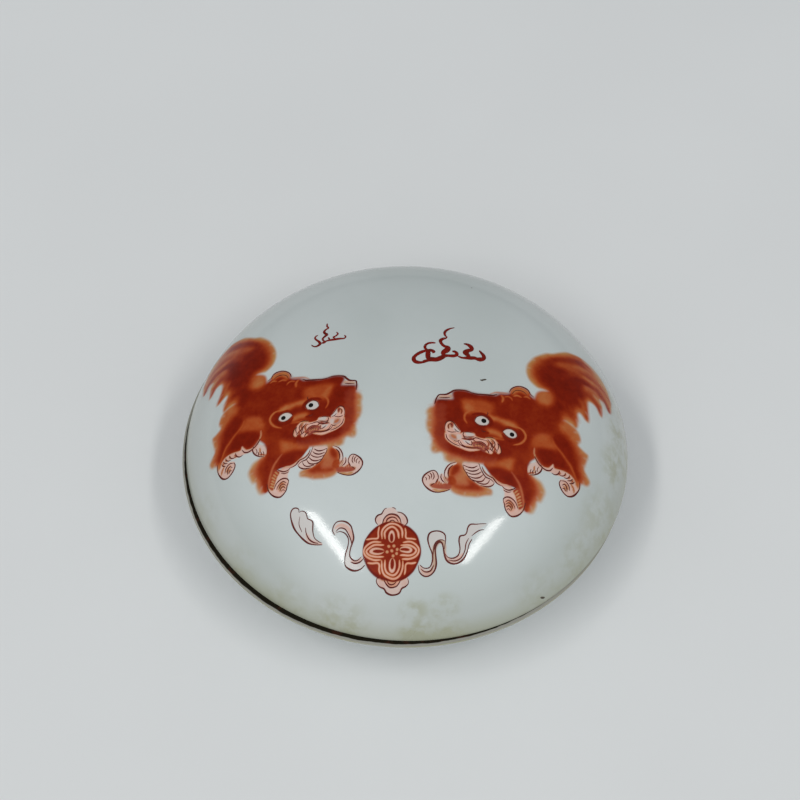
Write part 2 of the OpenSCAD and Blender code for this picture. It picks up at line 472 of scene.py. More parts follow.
def fibre_tree():
    """Geometry nodes that scatter short curved fibres over a surface."""
    tree, given = geometry_tree("paste fibres", (
        ("Surface", "Geometry", None), ("Density", "Float", 1150000.0), ("Seed", "Int", 5),
        ("Thickness", "Float", 0.045 * MM), ("Paste", "Material", None),
    ))
    scatter = add(tree, "GeometryNodeDistributePointsOnFaces", Mesh=given["Surface"],
                  Density=given["Density"], Seed=given["Seed"])
    # A fibre is the top of an arc, bowed up by a few tenths of a millimetre
    bow = add(tree, ARC, 6, 1.3 * MM, math.radians(62), math.radians(56))
    bow = add(tree, "GeometryNodeTransform", bow, (0, -1.28 * MM, 0))
    bow = add(tree, SWEEP, bow, add(tree, CIRCLE, 4, given["Thickness"]), Fill_Caps=True)
    size = add(tree, ("FunctionNodeRandomValue", {"data_type": "FLOAT"}), 0.45, 1.5, Seed=8)
    turn = add(tree, ("FunctionNodeRandomValue", {"data_type": "FLOAT_VECTOR"}),
               (-0.35, -0.35, 0.0), (0.35, 0.35, 6.283), Seed=2)
    fibres = add(tree, "GeometryNodeInstanceOnPoints", Points=scatter, Instance=bow,
                 Rotation=turn, Scale=size)
    return end_tree(tree, fibres, given["Paste"])


def run_nodes(name, vertices, edges, tree, inputs, floats=None, faces=()):
    """Feeds a mesh to a node tree and returns the result as a plain mesh."""
    mesh = bpy.data.meshes.new(name + " source")
    mesh.from_pydata([tuple(v) for v in vertices], edges, faces)
    for key, values in (floats or {}).items():
        mesh.attributes.new(key, "FLOAT", "POINT").data.foreach_set("value", values)
    source = bpy.data.objects.new(name + " source", mesh)
    bpy.context.scene.collection.objects.link(source)
    modifier = source.modifiers.new("nodes", "NODES")
    modifier.node_group = tree
    ids = {i.name: i.identifier for i in tree.interface.items_tree if i.in_out == "INPUT"}
    for key, value in inputs.items():
        modifier[ids[key]] = value
    source.update_tag()
    graph = bpy.context.evaluated_depsgraph_get()
    result = bpy.data.meshes.new_from_object(source.evaluated_get(graph))
    source.modifiers.remove(modifier)
    bpy.data.objects.remove(source)
    bpy.data.meshes.remove(mesh)
    result.name = name
    return result


def finished(name, mesh, body, node=None, recalculate=True):
    """Closes a mesh, turns its faces outwards and makes it a piece that rides on a body."""
    if recalculate:
        work = bmesh.new()
        work.from_mesh(mesh)
        bmesh.ops.remove_doubles(work, verts=work.verts, dist=1e-7)
        bmesh.ops.recalc_face_normals(work, faces=work.faces)
        work.to_mesh(mesh)
        work.free()
    mesh.polygons.foreach_set("use_smooth", [True] * len(mesh.polygons))
    mesh.update()
    piece = bpy.data.objects.new(name, mesh)
    bpy.context.scene.collection.objects.link(piece)
    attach(piece, body)
    if node:
        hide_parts(node)


def turned(name, outline, material, centre=(0.0, 0.0), segments=240):
    """Turns an outline of (r, z) points round an upright axis."""
    wheel = 0.1  # radius of the circle that carries the outline round: any will do
    vertices = [(r - wheel, -z, 0.0) for r, z in outline]
    edges = [(k, k + 1) for k in range(len(vertices) - 1)]
    mesh = run_nodes(
        name, vertices, edges, turning_tree(),
        {"Segments": segments, "Wheel": wheel, "Surface": material},
    )
    if centre != (0.0, 0.0):
        mesh.transform(Matrix.Translation((*centre, 0)))
    return mesh


def fired(name, outline, centre=(0.0, 0.0)):
    """A turned form in glazed porcelain, with bare clay ready in its second slot."""
    colours = bpy.context.scene.seal_box_colours
    glaze = kept("glazed porcelain", porcelain_material, colours)
    mesh = turned(name, outline, glaze, centre)
    mesh.materials.clear()
    mesh.materials.append(glaze)
    mesh.materials.append(kept("unglazed porcelain", clay_material, colours))
    return mesh


def bowl_side(s, inset=0.0):
    """Outline of the bowl from its ledge down to its axis, or of a line further in."""
    side = two_arcs(s.rim_radius, s.bowl_depth, s.bowl_side, s.bowl_slope, inset)
    return side * np.array([1, -1]) + np.array([0, s.seam_height])


def points_of(mesh):
    """The places of a mesh's points, one in a row."""
    co = np.empty(3 * len(mesh.vertices))
    mesh.vertices.foreach_get("co", co)
    return co.reshape(-1, 3)


def lay_bare(mesh, centre, test):
    """Gives the clay's slot to the faces whose middle (r, z in mm) passes the test."""
    count = len(mesh.polygons)
    middle = np.empty(count * 3)
    mesh.polygons.foreach_get("center", middle)
    x, y, z = middle.reshape(-1, 3).T
    index = np.empty(count, np.int32)
    mesh.polygons.foreach_get("material_index", index)
    index[test(np.hypot(x - centre[0], y - centre[1]) / MM, z / MM)] = 1
    mesh.polygons.foreach_set("material_index", index)


def lay_on_dome(sizes, x, y, lift):
    """Carries flat points (x, y in mm from the lid's axis) onto the dome, and lifts them off it
    by so many millimetres."""
    radius, rise, shoulder = (
        size / MM for size in (sizes.rim_radius, sizes.lid_rise, sizes.lid_shoulder)
    )
    cx, cz, big, turn = dome_arcs(radius, rise, shoulder, sizes.lid_slope)
    r = np.hypot(x, y)
    crown = r < big * math.sin(turn)
    rr = np.minimum(r, radius)
    sine = np.where(crown, rr / big, (rr - cx) / shoulder)
    cosine = np.sqrt(np.maximum(1e-9, 1 - sine * sine))
    z = np.where(crown, rise - big + big * cosine, cz + shoulder * cosine)
    safe = np.maximum(r, 1e-9)
    out = np.c_[
        x + lift * sine * x / safe + sizes.lid_right / MM,
        y + lift * sine * y / safe + sizes.lid_back / MM,
        z + lift * cosine + sizes.seam_height / MM,
    ]
    return out * MM


# ---------------------------------------------------------------------------
# Brushwork. All of it is drawn flat, in millimetres from the lid's axis, as seen
# from above (x to the right, y to the back), and laid on the dome afterwards.
# Given points are written as text: "x,y x,y ..." in tenths of a millimetre.
# ---------------------------------------------------------------------------
def placed(points):
    """Given points as an array in millimetres."""
    if isinstance(points, str):
        points = [[float(number) / 10 for number in pair.split(",")] for pair in points.split()]
    return np.array(points, float)


def flowing(points, closed=False, step=0.25):
    """A smooth line through given points, as an array of closely spaced points."""
    p = placed(points)
    if closed:
        p = np.vstack([p[-1], p, p[0], p[1]])
    else:
        p = np.vstack([2 * p[0] - p[1], p, 2 * p[-1] - p[-2]])
    t = np.r_[0, np.cumsum(np.sqrt(np.linalg.norm(np.diff(p, axis=0), axis=1)) + 1e-6)]
    out = []
    for i in range(1, len(p) - 2):
        span = t[i + 1] - t[i]
        m0 = (p[i + 1] - p[i - 1]) / (t[i + 1] - t[i - 1]) * span
        m1 = (p[i + 2] - p[i]) / (t[i + 2] - t[i]) * span
        n = max(2, int(np.ceil(np.linalg.norm(p[i + 1] - p[i]) / step)))
        s = (np.arange(n) / n)[:, None]
        out.append(
            (2 * s**3 - 3 * s**2 + 1) * p[i]
            + (s**3 - 2 * s**2 + s) * m0
            + (3 * s**2 - 2 * s**3) * p[i + 1]
            + (s**3 - s**2) * m1
        )
    if not closed:
        out.append(p[-2:-1])
    return np.vstack(out)


def at_shares(line, shares):
    """The places at some shares of the way along a line, from 0 to 1."""
    steps = np.linspace(0, 1, len(line))
    return np.c_[np.interp(shares, steps, line[:, 0]), np.interp(shares, steps, line[:, 1])]


def soft_noise(rng, shape, cells):
    """Smooth random values from -1 to 1 over a grid, with about so many waves across it."""
    coarse = rng.uniform(-1, 1, (cells + 3, cells + 3))
    v = np.linspace(0, cells, shape[0])
    u = np.linspace(0, cells, shape[1])
    i, j = v.astype(int), u.astype(int)
    fv, fu = (v - i)[:, None], (u - j)[None, :]
    fv, fu = fv * fv * (3 - 2 * fv), fu * fu * (3 - 2 * fu)
    a, b = coarse[np.ix_(i, j)], coarse[np.ix_(i, j + 1)]
    c, d = coarse[np.ix_(i + 1, j)], coarse[np.ix_(i + 1, j + 1)]
    return (a * (1 - fu) + b * fu) * (1 - fv) + (c * (1 - fu) + d * fu) * fv


class Wash:
    """A patch of enamel on a fine grid: how far it covers the glaze, and how deep its red is."""

    def __init__(self, x0, y0, x1, y1, step, seed):
        self.x = np.arange(x0, x1, step)
        self.y = np.arange(y0, y1, step)
        self.rng = np.random.default_rng(seed)
        gx, gy = np.meshgrid(self.x, self.y)
        waves = int(max(x1 - x0, y1 - y0) / 1.6)
        self.px = gx + 0.10 * soft_noise(self.rng, gx.shape, waves)
        self.py = gy + 0.10 * soft_noise(self.rng, gx.shape, waves)
        self.cover = np.zeros(gx.shape)
        self.tone = np.zeros(gx.shape)

    def window(self, line, margin):
        """The part of the grid that a line can reach, as two slices."""
        x0, y0 = line.min(0) - margin
        x1, y1 = line.max(0) + margin
        i0, i1 = np.searchsorted(self.y, [y0, y1])
        j0, j1 = np.searchsorted(self.x, [x0, x1])
        return slice(i0, max(i1, i0 + 1)), slice(j0, max(j1, j0 + 1))

    def distance(self, line, area, closed):
        """Distance of the grid's points to a line, whether they lie inside it, and how far
        along it they are, from 0 to 1."""
        x, y = self.px[area], self.py[area]
        near = np.full(x.shape, 1e9)
        inside = np.zeros(x.shape, bool)
        along = np.zeros(x.shape)
        ends = np.roll(line, -1, axis=0) if closed else line[1:]
        for k, ((ax, ay), (bx, by)) in enumerate(zip(line[: len(ends)], ends)):
            dx, dy = bx - ax, by - ay
            s = np.clip(((x - ax) * dx + (y - ay) * dy) / (dx * dx + dy * dy + 1e-12), 0, 1)
            d = (x - ax - s * dx) ** 2 + (y - ay - s * dy) ** 2
            along = np.where(d < near, k + s, along)
            near = np.minimum(near, d)
            if closed and ay != by:
                inside ^= ((ay > y) != (by > y)) & (x < (y - ay) * dx / (by - ay) + ax)
        return np.sqrt(near), inside, along / max(1, len(ends))

    def put(self, area, depth, soft, tone, cover, strength):
        """Mixes wash in where depth, in mm from the outline inwards, is past the soft edge."""
        a = np.clip(depth / (2 * soft) + 0.5, 0, 1)
        a = a * a * (3 - 2 * a) * strength
        fresh = self.cover[area] < 0.05
        self.tone[area] = np.where(fresh & (a > 0), tone, self.tone[area])
        self.tone[area] += (tone - self.tone[area]) * a
        self.cover[area] += (cover - self.cover[area]) * a

    def lay(self, points, tone, soft=0.25, cover=1.0, strength=1.0, rim=None):
        """Fills an outline with wash. cover 0 takes the enamel off again, down to the glaze.
        rim is the tone at the outline itself, where the wash runs out."""
        line = flowing(points, True, 0.4)
        area = self.window(line, 2 * soft + 0.3)
        away, inside, _ = self.distance(line, area, True)
        depth = np.where(inside, away, -away)
        if rim is not None:
            tone = rim + (tone - rim) * np.clip(depth / 1.3, 0, 1)
        self.put(area, depth, soft, tone, cover, strength)

    def stroke(self, points, width, tone, soft=0.12, cover=1.0, strength=1.0, taper=0.3):
        """One pull of the brush, thinner towards both ends."""
        line = flowing(points, False, 0.35)
        area = self.window(line, width + 2 * soft)
        away, _, along = self.distance(line, area, False)
        ends = np.clip(np.minimum(along, 1 - along) / taper, 0, 1)
        half = width / 2 * (0.25 + 0.75 * np.sqrt(ends))
        self.put(area, half - away, soft, tone, cover, strength)

    def settle(self, times):
        """Lets the wet washes run into each other a little."""
        for _ in range(times):
            for axis in (0, 1):
                wet = self.cover + 1e-6
                red = self.tone * wet
                wide = np.roll(wet, 1, axis) + np.roll(wet, -1, axis) + 2 * wet
                self.tone = (np.roll(red, 1, axis) + np.roll(red, -1, axis) + 2 * red) / wide

    def hairs(self, inner, outer, count, width, tone, spread, strength, soft=0.1):
        """Fine strokes that follow the lie of the fur between two guide lines."""
        a = flowing(inner, False, 0.5)
        b = flowing(outer, False, 0.5)
        grow = np.linspace(0, 1, 9)
        for _ in range(count):
            u = self.rng.uniform()
            start = self.rng.uniform(0, 0.7)
            t = start + (min(1.0, start + self.rng.uniform(0.25, 0.5)) - start) * grow
            path = at_shares(a, t) * (1 - u) + at_shares(b, t) * u
            path += self.rng.normal(0, 0.06, 2)
            self.stroke(
                path[::2],
                width * self.rng.uniform(0.6, 1.3),
                np.clip(tone + self.rng.uniform(-spread, spread), 0, 1),
                soft,
                1.0,
                strength * self.rng.uniform(0.5, 1),
                0.45,
            )


# Where the brush's bristles parted at the end of a stroke: place, and the way inwards
FRINGE_GAPS = [
    (3.1, -6.8, 1.2, 0.1), (3.0, -8.3, 1.3, 0.1), (3.2, -9.9, 1.2, 0.1), (3.8, -12.3, 1.2, 0.2),
    (3.9, -13.7, 1.1, 0.2), (4.9, -15.2, 0.5, 1), (6.9, -16.1, 0.3, 0.9),
    (8.6, -16.9, 0.2, 0.8), (10.6, -23.2, 0.3, 0.9), (13.2, -23.2, 0.1, 0.8),
    (16.2, -21.9, -1.2, 0.1), (23.9, -24.3, -0.5, 1.1), (25.2, -22.4, -0.6, 1.2),
    (26.4, -20.6, -1, 0.5), (35.4, -10.8, -1.2, -0.1), (34.9, -12.4, -1, -0.1),
    (35.3, -14.6, -1, 0.4), (34.4, -16.5, -0.4, 1), (33.9, -7.9, -1.1, 0),
    (33.4, -5.6, -1, -0.4), (35.6, -1.2, -0.6, 1), (33.2, -3.9, -0.3, 1.1), (23, 7.2, 1, 0),
    (24.2, 10, 0.8, -0.4),
]


# Soft folds of the lion's lips and paws: (width, tone, points)
LION_FOLDS = [
    (0.3, 0.8, "126,-123 134,-121 143,-124 148,-130"),
    (0.22, 0.78, "151,-114 155,-120 153,-128 148,-134"),
    (0.2, 0.75, "159,-113 163,-118 160,-123"),
    (0.24, 0.78, "160,-124 166,-129 165,-137"),
    (0.26, 0.8, "156,-130 150,-135 144,-137"),
    (0.3, 0.85, "129,-132.5 139,-135 148,-140"),
    (0.2, 0.7, "78,-87 77.5,-93 79,-98"),
    (0.3, 0.72, "82,-83 85,-88 83,-94"),
    (0.5, 0.5, "83,-110 87,-113 92,-115"),
    (0.22, 0.82, "104,-118 112,-117.5 120,-115 125,-116"),
    (0.16, 0.3, "129,-124 130,-127 130.5,-130"),
    (0.16, 0.3, "134,-124 135,-127 136,-130"),
    (0.16, 0.3, "139,-125 140,-128 141,-131"),
    (0.16, 0.3, "143.5,-127 145,-130 145,-132"),
    (0.3, 0.3, "148,-109 156,-108 164,-112"),
    (0.2, 0.24, "203,-213 206,-210 209,-208"),
    (0.2, 0.24, "206,-218 209,-215 212,-213"),
    (0.2, 0.24, "208,-223 211,-220 215,-218"),
    (0.2, 0.24, "209,-228 212,-225.5 216,-223.5"),
    (0.2, 0.24, "210,-233 213,-230.5 217,-228.5"),
    (0.2, 0.24, "211,-238 214,-235.5 218,-233.5"),
    (0.22, 0.6, "189,-234 194,-231 199,-236 201,-242"),
    (0.22, 0.6, "189,-239.5 193,-236.5 197,-240 198,-245"),
    (0.24, 0.66, "53,-213 56,-209 58,-204"),
    (0.24, 0.66, "58,-214 60,-210 61,-206"),
    (0.24, 0.66, "63,-214 64,-211 65,-208"),
    (0.24, 0.66, "69,-214 70,-211 70,-209"),
    (0.35, 0.3, "48,-221.5 60,-224 74,-221.5"),
    (0.24, 0.5, "300,-174 306,-177 309,-183"),
    (0.2, 0.5, "299,-180 303,-182 304,-187"),
    (0.3, 0.55, "314,-170 320,-176 321,-184"),
    (0.2, 0.7, "292,-153 293,-156 290,-159"),
    (0.2, 0.7, "303,-153 304,-156 302,-159"),
    (0.2, 0.7, "311,-156 312,-159 309,-162"),
    (0.2, 0.7, "318,-161 318,-164 315,-167"),
    (0.3, 0.62, "230,-169 236,-167 243,-165"),
    (0.2, 0.5, "243,-152 241,-157 242,-162"),
]


def paint_lion(step):
    """The lion on the right: a soft wash of iron red, deeper where the brush went twice."""
    w = Wash(1.5, -27.5, 42.5, 16.2, step, 7)
    # Thin outer washes, which show as a tan to orange fringe
    w.lay("""253,26 242,34 234,46 231,60 233,76 239,90 248,103 260,114 275,123 293,130 310,140
        330,147 350,147 370,139 386,124 397,108 404,90 409,65 410,43 405,29 400,36 396,53 391,56
        390,38 387,16 385,4 380,9 375,20 368,25 360,26 356,18 356,0 356,-26 350,-24 344,-16 338,-12
        334,-16 333,-30 330,-48 325,-50 320,-45 313,-43 305,-40 295,-50 280,-40 278,-15 286,5
        283,16 274,22 263,25""", 0.44, 0.45, 1.0, 1.0, 0.27)
    w.lay("""52,-38 48,-49 39,-54 35,-62 36,-74 34,-90 37,-105 44,-116 45,-130 44,-144 52,-150
        64,-149 70,-159 76,-166 90,-168 110,-166 130,-164 142,-164 160,-170 180,-160 200,-140
        120,-80 70,-50""", 0.48, 0.5, 0.97, 1.0, 0.28)
    w.lay("""285,-45 303,-39 316,-44 328,-52 335,-62 337,-74 331,-86 342,-95 351,-100 348,-116
        343,-130 349,-142 354,-152 349,-161 337,-163 333,-170 326,-180 315,-164 300,-158 280,-154
        260,-152 248,-140 240,-125 230,-95 250,-60 270,-40""", 0.52, 0.4, 0.98, 1.0, 0.36)
    w.lay("""230,-168 245,-176 256,-185 263,-198 260,-212 254,-221 247,-222 245,-231 239,-243
        228,-245 220,-230 220,-190""", 0.46, 0.5, 0.96, 1.0, 0.28)
    w.lay("""92,-165 81,-173 75,-184 75,-198 78,-210 82,-221 94,-228 110,-231 126,-231 140,-227
        159,-223 161,-214 150,-208 128,-200 114,-186 106,-172
        104,-162""", 0.5, 0.4, 0.97, 1.0, 0.34)
    # The tail's root, the chest behind the rear leg and the front leg, all in one wet pass
    w.lay("246,-8 250,10 260,19 274,23 290,30 300,0 280,-30 250,-24", 0.6, 0.4)
    w.lay("224,-90 246,-94 250,-120 244,-136 234,-146 228,-154 220,-140", 0.74, 0.3)
    w.lay("""146,-160 150,-175 159,-186 170,-195 182,-200 196,-200 208,-206 216,-220 219,-240
        228,-244 234,-220 230,-180 226,-150 200,-140""", 0.8, 0.14)
    # Body of the wash
    w.lay("""250,42 244,60 247,80 256,96 270,108 290,117 310,128 330,134 350,131 368,120 383,102
        392,84 399,60 403,40 395,52 389,66 380,66 382,44 383,20 374,32 362,36 353,32 352,10 353,-18
        343,-6 334,0 328,-10 328,-40 316,-29 300,-36 282,-25 286,8 276,26 260,34""", 0.68, 1.0)
    w.lay("""53,-34 60,-31 83,-30 84,-15 92,-9 110,-8 122,-11.5 140,-12.5 164,-10.5 176,-5 192,-1
        200,9 214,18 228,16 238,6 248,-3 260,-12 280,-8 294,-36 306,-48 316,-65 310,-80 285,-84
        266,-80 246,-88 236,-106 232,-126 230,-150 228,-170 206,-170 200,-146 184,-146 166,-156
        140,-160 110,-158 90,-152 70,-144 56,-130 49,-114 49,-90 50,-64 50,-46""", 0.89, 0.6)
    w.lay("""200,-130 220,-126 232,-138 230,-156 232,-172 243,-184 246,-200 240,-218 232,-234
        224,-243 220,-226 213,-206 204,-192 194,-180 198,-160 200,-144""", 0.8, 0.7)
    w.lay("""285,-70 300,-60 316,-72 326,-90 332,-110 332,-130 338,-150 332,-160 324,-160 300,-154
        276,-150 254,-148 244,-130 244,-110 256,-90 274,-80""", 0.76, 0.8)
    # Deep passages of the second wash
    w.lay("""255,50 253,68 261,82 269,92 282,98 298,96 314,90 330,89 346,84 360,77 373,68 362,64
        351,58 346,48 353,38 350,29 341,24 338,7 331,5 324,-6 317,-24 310,-20 300,-26 296,-40
        284,-50 274,-34 282,-10 288,12 280,30 266,38""", 0.95, 1.1)
    w.lay("""56,-40 80,-34 98,-32 100,-50 106,-70 120,-86 138,-89 138,-98 120,-99 104,-100 94,-90
        82,-82 72,-86 69,-100 70,-120 84,-134 100,-140 130,-142 150,-146 176,-146 166,-154 136,-158
        104,-152 82,-146 64,-134 56,-116 55,-90 55,-60""", 0.93, 0.5)
    w.lay("""88,-12 104,-9.5 120,-13 140,-14.5 166,-13 170,-22 150,-23 126,-22 106,-26 90,-30
        85,-22""", 0.93, 0.4)
    w.lay("""176,-18 204,-10 230,-6 250,-16 274,-20 286,-46 280,-70 256,-74 236,-80 226,-66 210,-56
        188,-50 176,-36""", 0.87, 0.9)
    w.lay("""281,-82 289,-70 300,-72 312,-86 320,-100 324,-120 328,-138 333,-152 327,-158 318,-140
        306,-122 292,-108 282,-96""", 0.93, 0.45)
    w.lay("""246,-122 250,-114 264,-111 282,-111 296,-118 306,-130 313,-146 306,-150 294,-146
        282,-147 276,-141 270,-149 260,-147 252,-138 246,-132""", 0.93, 0.4)
    w.lay("""154,-170 170,-169 186,-167 196,-174 204,-188 207,-200 194,-197 180,-193 168,-188
        158,-180""", 0.93, 0.4)
    w.lay("212,-160 226,-172 232,-190 233,-214 226,-236 220,-220 216,-198 208,-180", 0.9, 0.45)
    w.lay("93,-169 85,-175 81,-188 85,-195 94,-188 99,-174", 0.85, 0.35)
    w.lay("""84,-211 100,-211 116,-209 114,-200 110,-192 120,-199 134,-207 146,-212 130,-217
        110,-218 92,-217""", 0.82, 0.4)
    w.lay("206,-150 216,-140 224,-154 224,-172 214,-176 206,-166", 0.84, 0.4)
    # Lighter passages left between the strokes
    w.lay("103,-29 124,-27 150,-28 164,-36 164,-50 148,-60 126,-59 110,-62 105,-48", 0.62, 0.6)
    w.lay("105,-34 113,-36 121,-46 122,-54 114,-57 108,-52", 0.5, 0.4)
    w.lay("150,-58 164,-59 184,-63 204,-69 212,-76 206,-81 190,-78 174,-70 160,-70", 0.42, 0.4)
    w.lay("148,-89 162,-89 176,-93 184,-102 179,-108 168,-102 154,-99", 0.45, 0.25)
    w.lay("""152,-162 166,-158 180,-150 196,-144 203,-144 201,-158 198,-170 190,-170 176,-166
        162,-168 153,-170""", 0.52, 0.45)
    w.lay("251,2 257,15 267,18 277,12 282,2 280,-8 270,-13 258,-12 251,-6", 0.46, 0.9)
    w.lay("238,-98 252,-85 270,-83 280,-94 286,-108 272,-109 256,-111 242,-112", 0.58, 0.5)
    w.lay("198,2 201,10 210,17 222,17 232,13 238,5 230,1 220,6 210,3 204,-4", 0.42, 0.2)
    w.lay("57,-30 61,-24 72,-22 81,-20 83,-28 70,-29", 0.12, 0.12, 0.7)
    w.lay("293,-50 308,-44 322,-54 332,-68 332,-80 320,-84 308,-70 296,-62", 0.52, 0.7)
    # The lie of the fur in the tail and the mane
    w.stroke("272,98 290,109 314,117 340,125 366,126 386,112 400,90", 1.4, 0.9, 0.5)
    w.stroke("292,97 314,101 340,101 366,98 384,86 402,62", 1.7, 0.6, 0.6)
    w.stroke("332,123 354,125 376,118 392,102 401,84", 0.5, 0.84, 0.3)
    w.stroke("326,106 346,110 364,111 382,104 396,88 403,70", 0.62, 0.3, 0.3, 1.0, 0.8)
    w.stroke("338,96 362,96 382,89 398,74 407,54", 0.5, 0.84, 0.26)
    w.stroke("352,128 372,120 390,104 402,86", 0.7, 0.3, 0.3)
    w.stroke("330,142 356,139 380,124 398,100", 0.6, 0.66, 0.3)
    w.stroke("334,82 354,76 374,71 390,58 399,46 404,30", 1.0, 0.95, 0.3)
    w.stroke("348,89 366,85 386,78 401,64 409,44", 0.62, 0.22, 0.22)
    w.stroke("352,65 370,61 383,52 390,39", 0.5, 0.24, 0.24, 0.9, 0.8)
    w.stroke("354,142 376,131 394,110 405,84 410,60", 0.9, 0.3, 0.4, 0.7, 0.8)
    w.stroke("396,96 406,74 410,50", 0.4, 0.66, 0.2)
    w.stroke("382,122 398,102 407,76", 0.4, 0.24, 0.22)
    w.stroke("350,60 366,57 377,48 384,32", 1.2, 0.5, 0.4)
    w.stroke("350,46 364,39 376,29 385,8", 0.6, 0.8, 0.2)
    w.stroke("370,52 380,44 386,32", 0.6, 0.2, 0.25, 0.9, 0.8)
    w.stroke("384,49 390,38 394,24 395,14", 0.75, 0.2, 0.2, 0.12)
    w.stroke("383,26 386,16 385,6", 0.4, 0.62, 0.2, 0.8)
    w.stroke("336,24 344,12 348,-6", 0.5, 0.5, 0.2)
    w.stroke("343,24 351,8 353,-22", 0.45, 0.78, 0.18)
    w.stroke("316,0 323,-20 328,-46", 0.5, 0.7, 0.2)
    w.hairs("284,-10 300,40 330,66 366,60 384,14", """250,50 260,100 310,132 368,124
        408,46""", 16, 0.5, 0.7, 0.16, 0.25, 0.25)
    w.hairs("294,46 330,76 370,64 386,20", """280,98 326,130 378,110
        410,42""", 18, 0.36, 0.5, 0.22, 0.35, 0.18)
    w.hairs("296,30 316,20 334,4 349,-22", """286,10 296,-10 312,-30
        328,-48""", 12, 0.4, 0.74, 0.15, 0.35, 0.18)
    for k in range(26):
        y = -4.6 - 0.41 * k
        x = 3.6 + 0.5 * abs(math.sin(0.9 * k)) + (0.6 if k > 17 else 0)
        w.stroke([(x + 3.2, y + 0.3), (x + 1.6, y + 0.1), (x + 0.1, y - 0.25)], 0.42,
                 0.5 + 0.1 * math.sin(2.1 * k), 0.3, 0.95, 0.28)
    for k in range(11):
        x = 7 + 0.9 * k
        w.stroke([(x + 0.9, -14.9), (x + 0.4, -15.7), (x, -16.5)], 0.7,
                 0.46 + 0.08 * math.sin(1.7 * k), 0.35, 0.95, 0.3)
    w.settle(7)
    for k, (x, y, dx, dy) in enumerate(FRINGE_GAPS):
        inwards = [(x, y), (x + 0.5 * dx, y + 0.6 * dy), (x + dx, y + dy)]
        w.stroke(inwards, 0.28 + 0.06 * (k % 4), 0.34, 0.3, 0.5, 0.3)
    # Head: cheeks, brow, nose
    w.lay("106,-84 120,-86 132,-90 132,-98 114,-99 102,-96", 0.9, 0.2)
    w.stroke("113,-83 108,-74 109,-63 116,-55 125,-52", 0.4, 0.52, 0.16)
    w.stroke("122,-62 132,-59 144,-59 154,-64 160,-74 156,-83", 0.7, 0.96, 0.16)
    w.stroke("123,-70 126,-80 136,-86 148,-85", 0.45, 0.93, 0.14)
    w.stroke("183,-83 192,-79 206,-82 214,-90", 0.4, 0.9, 0.14)
    w.stroke("180,-97 186,-105 198,-108 210,-105 215,-96", 0.6, 0.95, 0.14)
    w.stroke("204,-76 218,-79 225,-89 224,-100 216,-110 202,-116", 0.42, 0.47, 0.12)
    w.stroke("136,-92 146,-97 154,-98", 0.6, 0.92, 0.14)
    w.stroke("154,-106 170,-108 184,-110", 0.35, 0.6, 0.12)
    w.stroke("179,-8 183,-16 181,-26", 0.5, 0.52, 0.2)
    w.stroke("158,-9 170,-4 182,-3 192,-1", 0.4, 0.42, 0.16, 0.9, 0.8)
    w.stroke("186,-12 194,-9 200,-12 202,-17", 0.3, 0.5, 0.14)
    w.stroke("224,-4 232,-2 238,-6", 0.3, 0.46, 0.14)
    w.stroke("204,-6 212,-3 220,-6", 0.4, 0.5, 0.15)
    # Pale passages reserved in the wash: muzzle, belly, feet and their edges
    pale = 0.04
    w.lay("""75,-103 88,-102 100,-105 106,-101.5 125,-102 130,-109 144,-111 160,-107 169,-113
        175,-124 177,-137 171,-140 165,-132 160,-142 149,-140 140,-132 120,-131 102,-132 90,-126
        78,-120 72,-111""", pale, 0.12, 0.88)
    w.lay("73,-106 70,-96 72,-85 79,-80.5 87,-84 92,-92 100,-102 96,-108", pale, 0.12, 0.85)
    w.stroke("71,-106 74,-118 86,-128 100,-134 116,-138 130,-137 142,-135", 0.6, pale, 0.1, 0.85)
    w.lay("80,-109 88,-108 94,-114 92,-121 84,-120 79,-115", 0.6, 0.15, 0.62)
    w.lay("123,-122 132,-119.5 143,-121 150,-127 149,-134 138,-132 125,-130", 0.8, 0.1, 0.9)
    w.stroke("80,-86 84,-89 84,-95", 0.7, 0.75, 0.12, 0.9)
    # Teeth, and the white above the lip
    w.lay("109,-104 114,-101.5 121,-103 127,-106 122,-109.5 112,-110", 0.2, 0.12, 0.3)
    w.lay("103,-119 111,-118 119,-121 116,-126 109,-126", 0.1, 0.12, 0.3)
    w.lay("88,-87 93,-94 100,-102 92,-104 86,-98", 0.1, 0.14, 0.35)
    w.lay("93,-108 101,-109 101,-117 95,-119", 0.1, 0.14, 0.4)
    w.stroke("104,-113 114,-115 126,-114", 0.3, 0.6, 0.1, 0.6)
    w.lay("""104,-169 116,-166 134,-165 140,-176 148,-189 160,-192 165,-200 159,-207 142,-208
        130,-203 118,-196 111,-186 106,-177""", pale, 0.14, 0.62)
    w.lay("""57,-189 51,-186 42,-188 33,-196 29.5,-203 31,-212 40,-222 50,-226 60,-226 72,-224
        82,-219 80,-212 72,-204 64,-198""", pale, 0.1, 0.62)
    w.lay("""43,-213 52,-210.5 60,-212 70,-209 78,-205 84,-211 81,-219 68,-220 54,-220
        46,-218""", 0.7, 0.16, 0.95)
    w.stroke("92,-167 81,-173 74,-183 74,-194 77,-200", 0.6, pale, 0.1, 0.5)
    w.lay("""183,-226 184,-214 181,-206 194,-203 206,-209 213,-220 219,-234 219,-245 209,-254
        198,-257 189,-250 183,-240 181,-232""", pale, 0.1, 0.7)
    w.stroke("""141,-172 149,-184 158,-188 169,-196 180,-201 192,-201
        200,-205""", 0.55, 0.12, 0.1, 0.75)
    w.lay("""200,-209 208,-202 216,-206 220,-216 222,-228 219,-238 212,-243 210,-236 207,-226
        204,-217""", 0.74, 0.12, 0.98)
    w.lay("184,-230 192,-225 200,-228 206,-236 204,-244 196,-249 188,-246", 0.1, 0.14, 0.85)
    w.stroke("197,-172 208,-186 215,-202 220,-220 221,-238 218,-246", 0.4, 0.45, 0.2, 0.95, 0.75)
